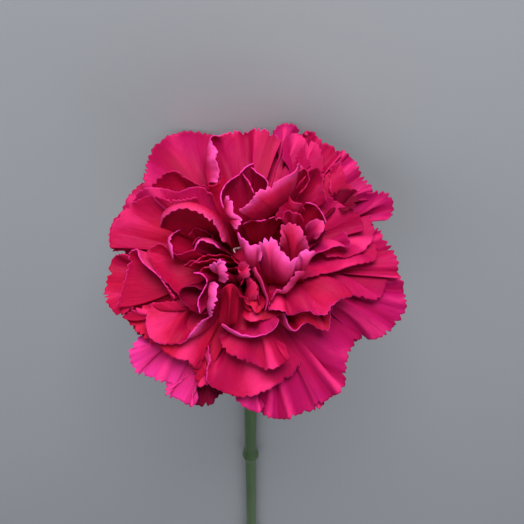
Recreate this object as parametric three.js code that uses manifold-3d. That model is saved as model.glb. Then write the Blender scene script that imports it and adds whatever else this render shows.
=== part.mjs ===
// A cut carnation lying on a table, in millimetres, +Z up.
//
// The bloom faces -Y and looks up a little; the stem runs away along +Y on the table. The flower
// rests on the flattened rims of its lowest petals, on the tips of its leaves and on its stem.
// The origin is on the table, under the middle of the flower's bounding box.
import * as THREE from "three";
import { mergeVertices } from "three/addons/utils/BufferGeometryUtils.js";
import Module from "manifold-3d";

const wasm = await Module();
wasm.setup();

// ---- Driving dimensions -------------------------------------------------------------------

const FACE_TILT = 40; // degrees that the open face of the bloom looks up from the horizontal
const CALYX_TILT = 28; // degrees that the calyx rises; the head nods forward over it
const MOUTH_HEIGHT = 24.6; // centre of the calyx mouth above the table

const PETAL_THICKNESS = 0.8;
const PETAL_EVENNESS = 0.8; // how far a petal's thickness runs one way along each of its rows
const TOOTH_DEPTH = 1.3;
const TOOTH_PITCH = 6; // of the simplified teeth
const PETAL_ROWS = [0.3, 0.66, 1]; // of its length, where a petal has points
const CURLED_ROWS = [0.3, 0.6, 0.86, 1]; // the same, where its rim curls over
const CLAW_RING = 4.4; // radius of the ring where the outer petals leave the calyx
const CLAW_HALF = 1.8; // half the width of a petal where it leaves the calyx
const CLAW_SPREAD = 0.3; // of half its rim's width, by which a petal has widened at its shoulder
const PETAL_PULL = 0.42; // of its reach, over which a petal keeps the directions of its two ends
const EVENED = 0.1; // how far the petals' joined surface may move to lose needless faces
const WELD = 1e-3; // points nearer than this are one
const GRAFT_RADIUS = 1; // of the beads that join petals where they only graze each other
const SIGHT = 190; // distance in front of the calyx mouth from which the petals' places are seen
const SIGHT_LINE = 3.75; // how far beside the mouth the line of sight passes

const CALYX_LENGTH = 27;
const CALYX_RADIUS = 6.4;
const CALYX_WALL = 0.9;
const CALYX_TEETH = 5;
const SCALE_LENGTH = 9.5; // of the small scales at the calyx's foot
const SCALE_COUNT = 4;
const FIT_GAP = 0.35; // between pieces that touch

const STEM_RADIUS = 2.3;
const STEM_LENGTH = 285; // from the calyx mouth to the cut end, along the table
const STEM_SIDES = 10;
const JOINT_RADIUS = 3.4; // of the swollen joints that the stem rests on
const JOINT_PLACES = [70, 150, 235]; // from the calyx mouth, along the table
const JOINT_DRIFT = [0.4, 1, 1.6]; // how far the stem wanders sideways at each joint

const LEAF_LENGTH = 46;
const LEAF_WIDTH = 6.4;
const LEAF_THICKNESS = 0.9;

const STYLE_RADIUS = 0.45;
const STYLE_FOOT = 9; // where the pair of styles divides, above the calyx mouth

// ---- Small helpers ------------------------------------------------------------------------

const radians = THREE.MathUtils.degToRad;
const { lerp, clamp } = THREE.MathUtils;
const vector = (x, y, z) => new THREE.Vector3(x, y, z);
const points2D = (pairs) => pairs.map(([x, y]) => new THREE.Vector2(x, y));

/** A repeatable stream of numbers from 0 to 1. */
function seeded(seed) {
  let state = seed;
  return () => {
    state = (state * 1664525 + 1013904223) % 4294967296;
    return state / 4294967296;
  };
}

/** Turns a closed three.js geometry into a solid that can be joined and cut. */
function solidOf(geometry) {
  const bare = geometry.clone();
  bare.deleteAttribute("normal");
  bare.deleteAttribute("uv");
  const merged = mergeVertices(bare, WELD);
  const vertProperties = new Float32Array(merged.attributes.position.array);
  const triVerts = new Uint32Array(merged.index.array);
  return new wasm.Manifold(new wasm.Mesh({ numProp: 3, vertProperties, triVerts }));
}

/** The geometry of a joined solid. */
function geometryOf(solid) {
  const mesh = solid.getMesh();
  const positions = new Float32Array(mesh.numVert * 3);
  for (let i = 0; i < mesh.numVert; i += 1) {
    const from = i * mesh.numProp;
    positions.set(mesh.vertProperties.subarray(from, from + 3), i * 3);
  }
  const geometry = new THREE.BufferGeometry();
  geometry.setAttribute("position", new THREE.BufferAttribute(positions, 3));
  geometry.setIndex(new THREE.BufferAttribute(mesh.triVerts, 1));
  geometry.computeVertexNormals();
  return geometry;
}

/** The largest body of a solid, without loose scraps. */
function largestBody(solid) {
  return solid.decompose().reduce((best, body) => (body.volume() > best.volume() ? body : best));
}

/** Joins solids into one body. */
function fused(solids) {
  return largestBody(wasm.Manifold.union(solids));
}

/** A solid turned about the Z axis by a profile of [radius, height] pairs. */
function turned(profile, sides) {
  return new THREE.LatheGeometry(points2D(profile), sides).rotateX(Math.PI / 2);
}

/** A round rod along a curve. */
function rodGeometry(curve, radius, sides, steps) {
  const section = new THREE.Shape();
  section.absarc(0, 0, radius, 0, 2 * Math.PI, false);
  const options = { extrudePath: curve, steps, curveSegments: sides / 2 };
  return new THREE.ExtrudeGeometry(section, options);
}

/** The way a grid of points faces at one of its points. */
function facing(grid, row, column) {
  const at = (r, c) => grid[clamp(r, 0, grid.length - 1)][clamp(c, 0, grid[0].length - 1)];
  const along = at(row + 1, column).clone().sub(at(row - 1, column));
  const across = at(row, column + 1).clone().sub(at(row, column - 1));
  return along.cross(across).normalize();
}

/**
 * A thin closed solid on a grid of points. Both faces are split into the same triangles, and
 * `evenness`, from 0 to 1, is how far a row's thickness runs one way all along it, so a waved
 * blade never crosses itself.
 */
function bladeGeometry(grid, thickness, evenness = 0) {
  const rows = grid.length;
  const columns = grid[0].length;
  const positions = [];
  for (const side of [0.5, -0.5]) {
    grid.forEach((line, row) => {
      const ways = line.map((_, column) => facing(grid, row, column));
      const common = ways.reduce((sum, way) => sum.add(way), vector(0, 0, 0)).normalize();
      line.forEach((point, column) => {
        const way = ways[column].lerp(common, evenness).normalize();
        positions.push(...point.clone().addScaledVector(way, side * thickness));
      });
    });
  }
  const index = [];
  const under = rows * columns;
  const wall = (a, b) => index.push(a, b, b + under, a, b + under, a + under);
  for (let row = 0; row < rows - 1; row += 1) {
    for (let column = 0; column < columns - 1; column += 1) {
      const a = row * columns + column;
      const [b, c, d] = [a + columns, a + columns + 1, a + 1];
      index.push(a, b, c, a, c, d);
      index.push(a + under, c + under, b + under, a + under, d + under, c + under);
    }
  }
  for (let column = 0; column < columns - 1; column += 1) {
    const last = (rows - 1) * columns + column;
    wall(column, column + 1);
    wall(last + 1, last);
  }
  for (let row = 0; row < rows - 1; row += 1) {
    const left = row * columns;
    const right = left + columns - 1;
    wall(left + columns, left);
    wall(right, right + columns);
  }
  const geometry = new THREE.BufferGeometry();
  geometry.setAttribute("position", new THREE.Float32BufferAttribute(positions, 3));
  geometry.setIndex(index);
  return geometry;
}

// ---- Where the head sits ------------------------------------------------------------------

/** From the head's frame (x and y across the open face, z the way it looks) to the table's. */
const headFrame = new THREE.Matrix4()
  .makeBasis(
    vector(-1, 0, 0),
    vector(0, -Math.sin(radians(FACE_TILT)), -Math.cos(radians(FACE_TILT))),
    vector(0, -Math.cos(radians(FACE_TILT)), Math.sin(radians(FACE_TILT))),
  )
  .setPosition(0, 0, MOUTH_HEIGHT);

/** The calyx's frame: its mouth at the same place, its axis lower than the face's. */
const calyxFrame = headFrame
  .clone()
  .multiply(new THREE.Matrix4().makeRotationX(radians(CALYX_TILT - FACE_TILT)));

// ---- Petals -------------------------------------------------------------------------------

/**
 * One petal: `rim` holds points of its toothed edge, clockwise round its root: across, up, height
 * over the calyx mouth, and lean, the slope at which the blade arrives there. 0 lies flat, 90
 * stands up and more curls back over the centre. Across and up are as the eye sees them from
 * SIGHT in front. `waves` are the number of the blade's waves and their height at the rim, and
 * `root` is where the blade begins, if not on the calyx's mouth.
 */
const PETALS = [
  // Outermost whorl, round the silhouette from the upper left.
  {
    rim: [[-27, 17, 6, 20], [-25.5, 25, 6, 35], [-22, 30.5, 4, 35], [-16, 33, 2, 30], [-8, 32, 2, 10]],
    waves: [1.5, 1],
  },
  {
    rim: [[-7, 19.5, 11, 150], [-7, 26, 12, 150], [-8, 31, 7, 90], [-2, 33.3, 2, 10],
      [2.5, 34, 2, 0], [9, 31, 3, 0]],
    waves: [3, 1],
  },
  { rim: [[5, 32, 2, 0], [8.8, 35.3, 3, 0], [12.8, 33.8, 2, 0], [14, 30, 3, 0]], waves: [1, 1.2] },
  { rim: [[12.5, 31, 3, 0], [14.5, 33.3, 3, 30], [21, 29.5, 4, 25], [24, 27, 4, 0]], waves: [2, 1.6] },
  {
    rim: [[22, 28, 2, 0], [24.8, 28, 3, 0], [29.5, 21.5, 3, 0], [31.5, 19, 3, 0], [31, 15.5, 3, 0]],
    waves: [3, 1.3],
  },
  { rim: [[31, 16.5, 5, 40], [34.5, 18, 3, 20], [36.8, 15.5, 2, 0], [35.3, 10, 4, 60]], waves: [1, 0.8] },
  { rim: [[30.5, 8.5, 4, 0], [33.3, 8.5, 4, 20], [37, 2.8, 5, 10], [38.3, -4, 5, 0]], waves: [3, 1.2] },
  { rim: [[37.5, -2, 2, 0], [40, -9.5, 3, 0], [36.5, -17, 3, -10], [27, -20.3, 1, -20]], waves: [4, 1.8] },
  { rim: [[29, -19, 3, 0], [25.5, -24, 3, 0], [24.7, -31, 3, 10], [17, -36, 2, 0]], waves: [3.5, 1.5] },
  { rim: [[22, -33, 0, 0], [13.5, -38.3, 1, 0], [9, -39.8, 1, 0], [1, -36.3, 1, -10]], waves: [5, 1.9] },
  { rim: [[4, -37, -1, 0], [-1.8, -35.5, 0, 0], [-4.5, -33, 1, 0]], waves: [3, 1] },
  { rim: [[-4, -31.5, 0, 0], [-9, -36, 1, 0], [-14.5, -35, 1, 0]], waves: [1.5, 0.8] },
  {
    rim: [[-11.8, -35, 3, 0], [-14, -36.5, 3, 0], [-20.5, -33.3, 3, 0], [-20.5, -30, 3, 0]],
    waves: [3, 1.3],
  },
  {
    rim: [[-18, -31.5, 3, -10], [-28, -28, 3, 0], [-29.7, -22, 4, 10], [-27, -18.5, 4, 10]],
    waves: [3, 1.4],
  },
  { rim: [[-24, -21, 6, 0], [-31, -13.3, 5, 0], [-31, -10, 5, 0]], waves: [1, 0.7] },
  { rim: [[-28, -12, 6, 0], [-36, -8.5, 4, 10], [-33.8, 0.8, 6, 20], [-31, 3, 8, 30]], waves: [2, 1.2] },
  { rim: [[-28, 3, 5, 0], [-34.3, 3, 6, 20], [-33, 11.5, 6, 20], [-29, 14, 6, 10]], waves: [2, 0.8] },
  { rim: [[-32, 8, 3, 0], [-31.5, 13, 3, 0], [-27.5, 19.3, 2, 0], [-24, 22, 2, 0]], waves: [2, 1] },
  // Under them, where they leave gaps.
  { rim: [[-14, 27, 1, 10], [-5, 30.5, 0, 0], [13, 30.5, -1, 0], [20, 27, 0, 0]], waves: [3, 1] },
  { rim: [[29, 9, 0, 0], [35, -5, 0, 0], [30, -17, -1, 0]], waves: [3, 1] },
  { rim: [[7, -34, -2, 0], [-10, -32, -2, 0], [-24, -24, -1, 0]], waves: [3, 1] },
  // Second whorl, lifted over the first.
  { rim: [[-25.5, 18, 8, 30], [-18, 23, 11, 75], [-11, 19.3, 11, 60], [-6.5, 22, 9, 50]], waves: [1.2, 0.4] },
  {
    rim: [[-34.5, 3.5, 7, 10], [-32.5, 11.8, 8, 20], [-24.8, 16.6, 10, 35], [-12.5, 16.5, 13, 50]],
    waves: [1.5, 0.9],
  },
  {
    rim: [[-33, -11.3, 7, 0], [-30, -1.5, 9, 30], [-27.3, 3.5, 12, 110], [-21.5, -3.8, 13, 110],
      [-17.8, -9, 12, 90]],
    waves: [1.2, 0.7],
  },
  {
    rim: [[-9, -14.5, 13, 40], [-16.5, -20.6, 11, 20], [-24, -19.3, 9, 0], [-24, -10, 9, 10]],
    waves: [1.5, 1],
  },
  { rim: [[-10, -22, 8, 0], [-12.5, -27, 7, 0], [-22.5, -21, 8, 0]], waves: [1.5, 0.7] },
  { rim: [[-9.6, -27, 6, 0], [-11.5, -31.2, 5, -10], [-15.5, -24, 7, 0]], waves: [1, 0.3] },
  {
    rim: [[14.5, -26, 5, 0], [7, -31.2, 6, 0], [-2.5, -34, 6, 0], [-10, -30.5, 8, 20], [-10, -22, 9, 60]],
    waves: [3, 0.8],
  },
  {
    rim: [[9, -19, 10, 10], [11, -24, 10, 10], [6, -27.4, 10, -10], [-6, -22, 11, 10], [-7, -18, 11, 20]],
    waves: [3.5, 1.3],
  },
  {
    rim: [[9.3, -14.5, 15, 20], [5.8, -18.3, 15, 0], [-2.5, -17, 15, 50], [-6.3, -15.3, 15, 60]],
    waves: [2, 0.7],
  },
  { rim: [[21.5, -12, 12, 20], [20.2, -17.3, 12, 10], [15, -15, 14, 0], [9, -13, 14, 40]], waves: [2, 1] },
  {
    rim: [[26, -8.8, 12, 0], [20.3, -13.2, 15, 30], [14.5, -12, 17, 10], [0.8, -14.5, 15, 20]],
    waves: [2.5, 1.2],
  },
  { rim: [[37, 2, 6, 0], [27, -1, 10, 20], [14, -4, 14, 30]], waves: [1.5, 0.7] },
  { rim: [[36, -2.5, 4, 0], [33, -9.5, 6, 0], [28, -9, 8, 0], [14, -6, 13, 20]], waves: [3, 0.9] },
  { rim: [[31, 11, 6, 20], [30.5, 6, 8, 30], [14, 2.3, 17, 50]], waves: [2, 0.8] },
  { rim: [[20, 19, 9, 20], [23.3, 25.5, 9, 0], [28.5, 20, 9, 20], [24, 17, 12, 80]], waves: [3, 1.1] },
  { rim: [[12, 23, 10, 30], [16, 29.5, 8, 10], [19.5, 24, 10, 30], [19.5, 19, 11, 30]], waves: [2, 1] },
  { rim: [[17, 15, 10, 30], [20, 18.5, 9, 30], [28.5, 15, 8, 10], [30, 10, 8, 10]], waves: [2, 0.8] },
  // Inner petals, standing round the pockets of the heart.
  { rim: [[11, 17, 16, 60], [15.5, 23, 17, 80], [20.3, 15, 13, 60]], waves: [2, 0.9] },
  {
    rim: [[-21.5, 8.5, 16, 100], [-17.5, 12.8, 21, 160], [-11.5, 11.3, 22, 165], [-5, 4, 20, 120]],
    root: [-5, 3, 5],
    waves: [2.5, 0.5],
  },
  { rim: [[-17, -9, 12, 60], [-26, 3, 13, 60], [-13, 3, 16, 60]], root: [-5, 0, 5], waves: [1.5, 0.8] },
  {
    rim: [[-12, -13, 16, 80], [-10, -4.5, 18, 90], [-13.5, -2.8, 18, 90]],
    root: [-4, -3, 5],
    waves: [0.8, 0.3],
  },
  { rim: [[14.5, -1, 17, 80], [11, -6.5, 19, 110], [5.3, -13, 15, 60]], root: [4, -2, 5], waves: [1.5, 0.6] },
  { rim: [[-5.5, 10, 19, 90], [-6, 17.5, 21, 110], [1, 25, 18, 70]], root: [-1, 7, 6], waves: [1, 0.4] },
  {
    rim: [[-2.8, 12.5, 21, 10], [4, 18.5, 23, 15], [10, 22.3, 22, 40], [14, 21, 18, 60]],
    root: [9.5, 9.5, 9],
    waves: [3, 0.9],
  },
  { rim: [[15, 14.5, 16, 90], [19, 10.5, 19, 130], [17, 5.5, 17, 90]], root: [11, 5, 8], waves: [1, 0.5] },
  { rim: [[8.5, 8.5, 20, 10], [13, 10, 21, 10], [15.8, 4, 20, 30]], root: [11.5, -1, 9], waves: [3, 0.5] },
  {
    rim: [[-2.3, 7.3, 24, -10], [5, 6, 25, -10], [11.5, 1.2, 24, 0], [17.5, 1.8, 21, 20]],
    root: [6, -7.5, 9],
    waves: [2, 1],
  },
  {
    rim: [[-8, -14.3, 18, 120], [-7, -8.5, 23, 170], [-6, 0.8, 22, 150]],
    root: [-3.5, -6, 8],
    waves: [1, 0.4],
  },
];

/** The rim's points in the head's frame. */
function rimPoints({ rim }) {
  return rim.map(([across, up, height]) => {
    const nearer = 1 - height / SIGHT;
    return vector(SIGHT_LINE + (across - SIGHT_LINE) * nearer, up * nearer, height);
  });
}

/** Where a petal's blade begins: its root, or the mouth's rim on its own side. */
function petalBase({ root }, points) {
  if (root) return vector(...root);
  const middle = points.reduce((sum, point) => sum.add(point), vector(0, 0, 0)).setZ(0);
  return middle.setLength(CLAW_RING);
}

/** The lean, in radians, at a place from 0 to 1 along a rim. */
function leanAt({ rim }, points, place) {
  let left = place * points.slice(1).reduce((sum, point, n) => sum + point.distanceTo(points[n]), 0);
  for (let n = 1; n < points.length; n += 1) {
    const chord = points[n].distanceTo(points[n - 1]);
    if (left <= chord || n === points.length - 1) {
      return radians(lerp(rim[n - 1][3], rim[n][3], clamp(left / chord, 0, 1)));
    }
    left -= chord;
  }
  return 0;
}

/** The middle line of a petal's blade towards each of `columns` places on its rim. */
function petalSpines(petal, columns) {
  const points = rimPoints(petal);
  const curve = new THREE.CatmullRomCurve3(points);
  const base = petalBase(petal, points);
  const at = (place) => curve.getPointAt(clamp(place, 0, 1));
  const places = Array.from({ length: columns }, (_, n) => 1 - n / (columns - 1));
  const middle = places.reduce((sum, place) => sum.add(at(place)), vector(0, 0, 0)).divideScalar(columns);
  const reach = middle.distanceTo(base);
  const pull = PETAL_PULL * reach;
  const chord = at(1).sub(at(0)).setZ(0);
  const half = chord.length() / 2;
  return places.map((place) => {
    const end = at(place);
    const flow = at(place + 0.07).sub(at(place - 0.07));
    const ray = end.clone().sub(base).setZ(0).setLength(0.55);
    const outward = vector(-flow.y, flow.x, 0).setLength(0.45).add(ray).normalize();
    const lean = leanAt(petal, points, place);
    const arrival = outward.multiplyScalar(Math.cos(lean)).setZ(Math.sin(lean));
    const side = chord.clone().setLength(2 * place - 1);
    const claw = base.clone().addScaledVector(side, CLAW_HALF);
    const shoulder = base.clone().add(vector(0, 0, pull)).addScaledVector(side, CLAW_HALF + CLAW_SPREAD * half);
    const before = end.clone().addScaledVector(arrival, -pull);
    return { curve: new THREE.CubicBezierCurve3(claw, shoulder, before, end), place, reach };
  });
}

/** How far a place on a petal is waved out of its smooth surface. */
function petalWave({ rim, waves }, place, along) {
  const [folds, depth] = waves;
  const phase = 1.3 * rim[0][0] + 2.1 * rim[0][1];
  const turns = 2 * Math.PI * folds * place;
  const bend = 0.9 * Math.sin(0.31 * turns + phase + 5.1);
  const wave = Math.sin(turns + phase + bend) + 0.35 * Math.sin(1.9 * turns + phase + 1.7 + along);
  return 0.62 * depth * wave * along ** 1.6;
}

/** Points of a petal's middle surface, row by row from the claw to the toothed rim. */
function petalGrid(petal, random) {
  const length = new THREE.CatmullRomCurve3(rimPoints(petal)).getLength();
  const columns = 2 * Math.max(2, Math.round(length / TOOTH_PITCH)) + 1;
  const spines = petalSpines(petal, columns);
  const curled = petal.rim.some(([, , , lean]) => lean > 100);
  const rows = (curled ? CURLED_ROWS : PETAL_ROWS).map((along) =>
    spines.map(({ curve, reach }, column) => {
      const notched = along === 1 && column % 2 === 0;
      return curve.getPoint(along - (notched ? (TOOTH_DEPTH * lerp(0.5, 0.85, random())) / reach : 0));
    }),
  );
  return rows.map((row, n) =>
    row.map((point, column) => {
      const along = (n + 1) / rows.length;
      const next = rows[Math.min(n + 1, rows.length - 1)][column];
      const down = next.clone().sub(rows[Math.max(n - 1, 0)][column]);
      const over = row[Math.min(column + 1, columns - 1)].clone().sub(row[Math.max(column - 1, 0)]);
      const normal = down.cross(over).normalize();
      return point.clone().addScaledVector(normal, petalWave(petal, spines[column].place, along));
    }),
  );
}

/** A petal as a solid in the table's frame, pressed flat where it would pass through the table. */
function petalSolid(petal, random) {
  const geometry = bladeGeometry(petalGrid(petal, random), PETAL_THICKNESS, PETAL_EVENNESS);
  geometry.applyMatrix4(headFrame);
  const position = geometry.attributes.position;
  for (let i = 0; i < position.count; i += 1) {
    const floor = i < position.count / 2 ? PETAL_THICKNESS : 0;
    position.setZ(i, Math.max(position.getZ(i), floor));
  }
  return solidOf(geometry);
}

/** The bundle of claws that fills the calyx and carries every petal. */
function clawBundle() {
  const inside = CALYX_RADIUS - CALYX_WALL - FIT_GAP;
  const geometry = turned(
    [
      [0, -CALYX_LENGTH + 6],
      [2.6, -CALYX_LENGTH + 6],
      [inside - 0.6, -CALYX_LENGTH + 13],
      [inside, -4],
      [inside, 3.6],
      [11, 5.2],
      [16, 7],
      [15, 9.5],
      [9, 13],
      [0, 13.5],
    ],
    12,
  );
  return solidOf(geometry.applyMatrix4(calyxFrame));
}

/** The pair of styles, or with a larger radius the room that the petals leave for them. */
function stylesSolid(radius, foot) {
  const stalk = turned([[0, foot], [radius * 1.6, foot], [radius * 1.6, foot + 2.5], [0, foot + 2.5]], 8);
  const arms = [1, -1].map((side) => {
    const curve = new THREE.CatmullRomCurve3([
      vector(0, 0, foot + 1.2),
      vector(side * 0.45, side * 0.1, foot + 4),
      vector(side * 0.9, side * 0.2, foot + 7),
      vector(side * 1, side * 0.5, foot + 9.2),
      vector(side * 0.7, side * 1.1, foot + 10.4),
    ]);
    return solidOf(rodGeometry(curve, radius, 6, 8));
  });
  const place = headFrame.clone().multiply(new THREE.Matrix4().makeTranslation(-1.6, 3.2, 0));
  return fused([solidOf(stalk), ...arms]).transform(place.elements);
}

/** Places where a mesh touches itself: the middles of edges that more than two faces share. */
function pinches(geometry) {
  const { index, attributes } = mergeVertices(geometry.clone().deleteAttribute("normal"), WELD);
  const uses = new Map();
  for (let n = 0; n < index.count; n += 3) {
    const corners = [0, 1, 2].map((k) => index.getX(n + k));
    if (new Set(corners).size < 3) continue; // a face that the welding closed
    corners.forEach((from, k) => {
      const edge = [from, corners[(k + 1) % 3]].sort((a, b) => a - b).join();
      uses.set(edge, (uses.get(edge) ?? 0) + 1);
    });
  }
  const shared = [...uses].filter(([, count]) => count > 2);
  return shared.map(([edge]) => {
    const [from, to] = edge.split(",").map((n) => vector(0, 0, 0).fromBufferAttribute(attributes.position, n));
    return from.lerp(to, 0.5);
  });
}

/** The largest body of a solid, after points nearer than WELD are joined. */
function welded(solid) {
  return largestBody(solidOf(geometryOf(largestBody(solid))));
}

/** Joins petals that only graze each other by small beads, so that the bloom is one sound body. */
function grown(solid) {
  const body = welded(solid);
  const spots = pinches(geometryOf(body));
  if (spots.length === 0) return body;
  const bead = new THREE.OctahedronGeometry(GRAFT_RADIUS);
  const beads = spots.map((spot) => solidOf(bead.clone().translate(...spot)));
  return grown(wasm.Manifold.union([body, ...beads]));
}

function bloomGeometry() {
  const random = seeded(7);
  const petals = PETALS.map((petal) => petalSolid(petal, random));
  const whole = wasm.Manifold.union([clawBundle(), ...petals]);
  const room = stylesSolid(STYLE_RADIUS + FIT_GAP, STYLE_FOOT - FIT_GAP);
  return geometryOf(grown(welded(whole.subtract(room)).simplify(EVENED)));
}

// ---- Calyx --------------------------------------------------------------------------------

/** A wedge that parts two of the calyx's teeth. */
function toothNotch(turn) {
  const width = (Math.PI * CALYX_RADIUS) / CALYX_TEETH;
  const outline = new THREE.Shape(points2D([[0, -3.4], [width * 0.92, 3.2], [-width * 0.92, 3.2]]));
  const wedge = new THREE.ExtrudeGeometry(outline, { depth: 2 * CALYX_RADIUS, bevelEnabled: false });
  return solidOf(wedge.rotateX(Math.PI / 2).rotateZ(turn));
}

/** One small pointed scale, lying on the calyx's foot. */
function footScale(turn) {
  const grid = [0, 0.4, 0.75, 1].map((along) => {
    const spread = 0.95 * (1 - along ** 2) + 0.06;
    const radius = lerp(3.6, CALYX_RADIUS - 0.6, clamp(along * 1.3, 0, 1)) + 0.15 + 0.3 * along;
    return [1, 0.5, 0, -0.5, -1].map((across) => {
      const angle = turn + across * spread;
      const height = -CALYX_LENGTH + 0.6 + SCALE_LENGTH * along;
      return vector(radius * Math.cos(angle), radius * Math.sin(angle), height);
    });
  });
  return solidOf(bladeGeometry(grid, 1.1));
}

/** The green tube with its teeth and the scales at its foot, closed below the claws. */
function calyxGeometry() {
  const bore = CALYX_RADIUS - CALYX_WALL;
  const tube = turned(
    [
      [0, -CALYX_LENGTH],
      [3, -CALYX_LENGTH],
      [5, -CALYX_LENGTH + 3.5],
      [CALYX_RADIUS - 0.4, -CALYX_LENGTH + 10],
      [CALYX_RADIUS, -7],
      [CALYX_RADIUS, 2.6],
      [bore, 2.6],
      [bore, -4.2],
      [bore - 0.6, -CALYX_LENGTH + 12.6],
      [2.9, -CALYX_LENGTH + 5.5],
      [0, -CALYX_LENGTH + 5.5],
    ],
    20,
  );
  const turnOf = (n, count) => (2 * Math.PI * n) / count;
  const notches = Array.from({ length: CALYX_TEETH }, (_, n) => toothNotch(turnOf(n, CALYX_TEETH)));
  const scales = Array.from({ length: SCALE_COUNT }, (_, n) => footScale(turnOf(n + 0.5, SCALE_COUNT)));
  const toothed = solidOf(tube).subtract(wasm.Manifold.union(notches));
  return geometryOf(fused([toothed, ...scales])).applyMatrix4(calyxFrame);
}

// ---- Stem and leaves ----------------------------------------------------------------------

/** Where the stem's swollen joints lie. */
const joints = JOINT_PLACES.map((y, n) => vector(JOINT_DRIFT[n], y, JOINT_RADIUS));

/** The stem's middle line: off the calyx's foot, down to the table and along it. */
function stemCurve() {
  const slope = radians(CALYX_TILT);
  const along = CALYX_LENGTH + FIT_GAP;
  const top = vector(0, along * Math.cos(slope), MOUTH_HEIGHT - along * Math.sin(slope));
  const bendRadius = (top.z - JOINT_RADIUS) / (1 - Math.cos(slope));
  const neck = [0, 0.25, 0.5, 0.75, 1].map((part) => {
    const angle = slope * (1 - part);
    const y = top.y + bendRadius * (Math.sin(slope) - Math.sin(angle));
    return vector(JOINT_DRIFT[0] * part, y, JOINT_RADIUS + bendRadius * (1 - Math.cos(angle)));
  });
  const end = vector(2.2, STEM_LENGTH, STEM_RADIUS + 0.1);
  return new THREE.CatmullRomCurve3([...neck, ...joints, end]);
}

/** A swollen joint of the stem. */
function jointSolid(place) {
  const swelling = new THREE.SphereGeometry(JOINT_RADIUS, 10, 8).rotateX(Math.PI / 2);
  return solidOf(swelling.scale(1, 1.15, 1).translate(place.x, place.y, place.z));
}

function stemGeometry() {
  const rod = solidOf(rodGeometry(stemCurve(), STEM_RADIUS, STEM_SIDES, 30));
  return geometryOf(fused([rod, ...joints.map(jointSolid)]));
}

/**
 * A narrow channelled leaf of the first joint, reaching towards the bloom; side is 1 or -1. It
 * leaves the joint on edge and turns over until its tip lies flat on the table.
 */
function leafGeometry(side) {
  const start = joints[0].clone().add(vector(side * (JOINT_RADIUS + FIT_GAP + LEAF_THICKNESS / 2), 0, 0));
  const step = (x, y, z) => start.clone().add(vector(side * x, y, z).multiplyScalar(LEAF_LENGTH));
  const tip = step(0.46, -0.78, 0).setZ(LEAF_THICKNESS / 2 + 0.05);
  const curve = new THREE.CubicBezierCurve3(start, step(0.16, -0.14, 0.06), step(0.34, -0.48, 0.2), tip);
  const grid = [0, 0.12, 0.28, 0.46, 0.64, 0.82, 1].map((along) => {
    const tangent = curve.getTangent(along);
    const level = tangent.clone().cross(vector(0, 0, 1)).normalize();
    const twist = radians(90 * side) * (1 - THREE.MathUtils.smoothstep(along, 0, 0.6));
    const sideways = level.applyAxisAngle(tangent, twist);
    const normal = sideways.clone().cross(tangent);
    const widening = lerp(0.55, 1, clamp(along * 3, 0, 1));
    const halfWidth = (LEAF_WIDTH / 2) * widening * (1 - 0.9 * along ** 3);
    return [-1, -0.5, 0, 0.5, 1].map((across) => {
      const lift = halfWidth * 0.35 * across * across * (1 - along);
      const point = curve.getPoint(along).addScaledVector(sideways, across * halfWidth);
      return point.addScaledVector(normal, lift);
    });
  });
  return geometryOf(solidOf(bladeGeometry(grid, LEAF_THICKNESS)));
}

// ---- The flower ---------------------------------------------------------------------------

/** A matt finish of one colour. */
function finish(color) {
  return new THREE.MeshStandardMaterial({ color, roughness: 0.6, metalness: 0 });
}

const pieces = [
  ["bloom", bloomGeometry(), finish(0xc8174f)],
  ["styles", geometryOf(stylesSolid(STYLE_RADIUS, STYLE_FOOT)), finish(0xf3dbe2)],
  ["calyx", calyxGeometry(), finish(0x6f8f5a)],
  ["stem", stemGeometry(), finish(0x4f7340)],
  ["leaf_left", leafGeometry(1), finish(0x7d9a80)],
  ["leaf_right", leafGeometry(-1), finish(0x7d9a80)],
].map(([name, geometry, material]) => {
  const mesh = new THREE.Mesh(geometry, material);
  mesh.name = name;
  return mesh;
});

const carnation = new THREE.Group();
carnation.add(...pieces);
const bounds = new THREE.Box3().setFromObject(carnation);
const middle = bounds.getCenter(vector(0, 0, 0));
carnation.position.set(-middle.x, -middle.y, -bounds.min.z);

export default carnation;
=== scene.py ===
"""A cut carnation lying on a table: bloom, styles, calyx, stem and a pair of leaves."""

import logging
import math
import random
from collections.abc import Callable
from dataclasses import dataclass, field
from enum import Enum
from typing import TypeAlias

import bmesh
import bpy
import numpy as np
from mathutils import Matrix, Vector


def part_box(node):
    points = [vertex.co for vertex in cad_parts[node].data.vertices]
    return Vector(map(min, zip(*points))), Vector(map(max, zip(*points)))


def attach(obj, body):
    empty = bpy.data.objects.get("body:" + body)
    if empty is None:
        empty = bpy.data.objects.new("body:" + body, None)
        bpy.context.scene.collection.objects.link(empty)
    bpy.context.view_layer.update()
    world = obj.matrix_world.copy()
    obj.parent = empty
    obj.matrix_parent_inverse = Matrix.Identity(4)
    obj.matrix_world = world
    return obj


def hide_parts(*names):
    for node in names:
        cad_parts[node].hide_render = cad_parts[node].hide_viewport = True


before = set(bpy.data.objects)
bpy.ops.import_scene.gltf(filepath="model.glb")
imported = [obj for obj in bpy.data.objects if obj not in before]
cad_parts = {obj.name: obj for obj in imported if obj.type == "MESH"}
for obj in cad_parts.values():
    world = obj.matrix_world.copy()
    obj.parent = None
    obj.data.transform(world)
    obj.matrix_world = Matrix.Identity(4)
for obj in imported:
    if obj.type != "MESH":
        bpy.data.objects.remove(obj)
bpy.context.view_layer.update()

logging.basicConfig(level=logging.INFO, format="%(message)s")
LOG = logging.getLogger("carnation")

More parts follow.
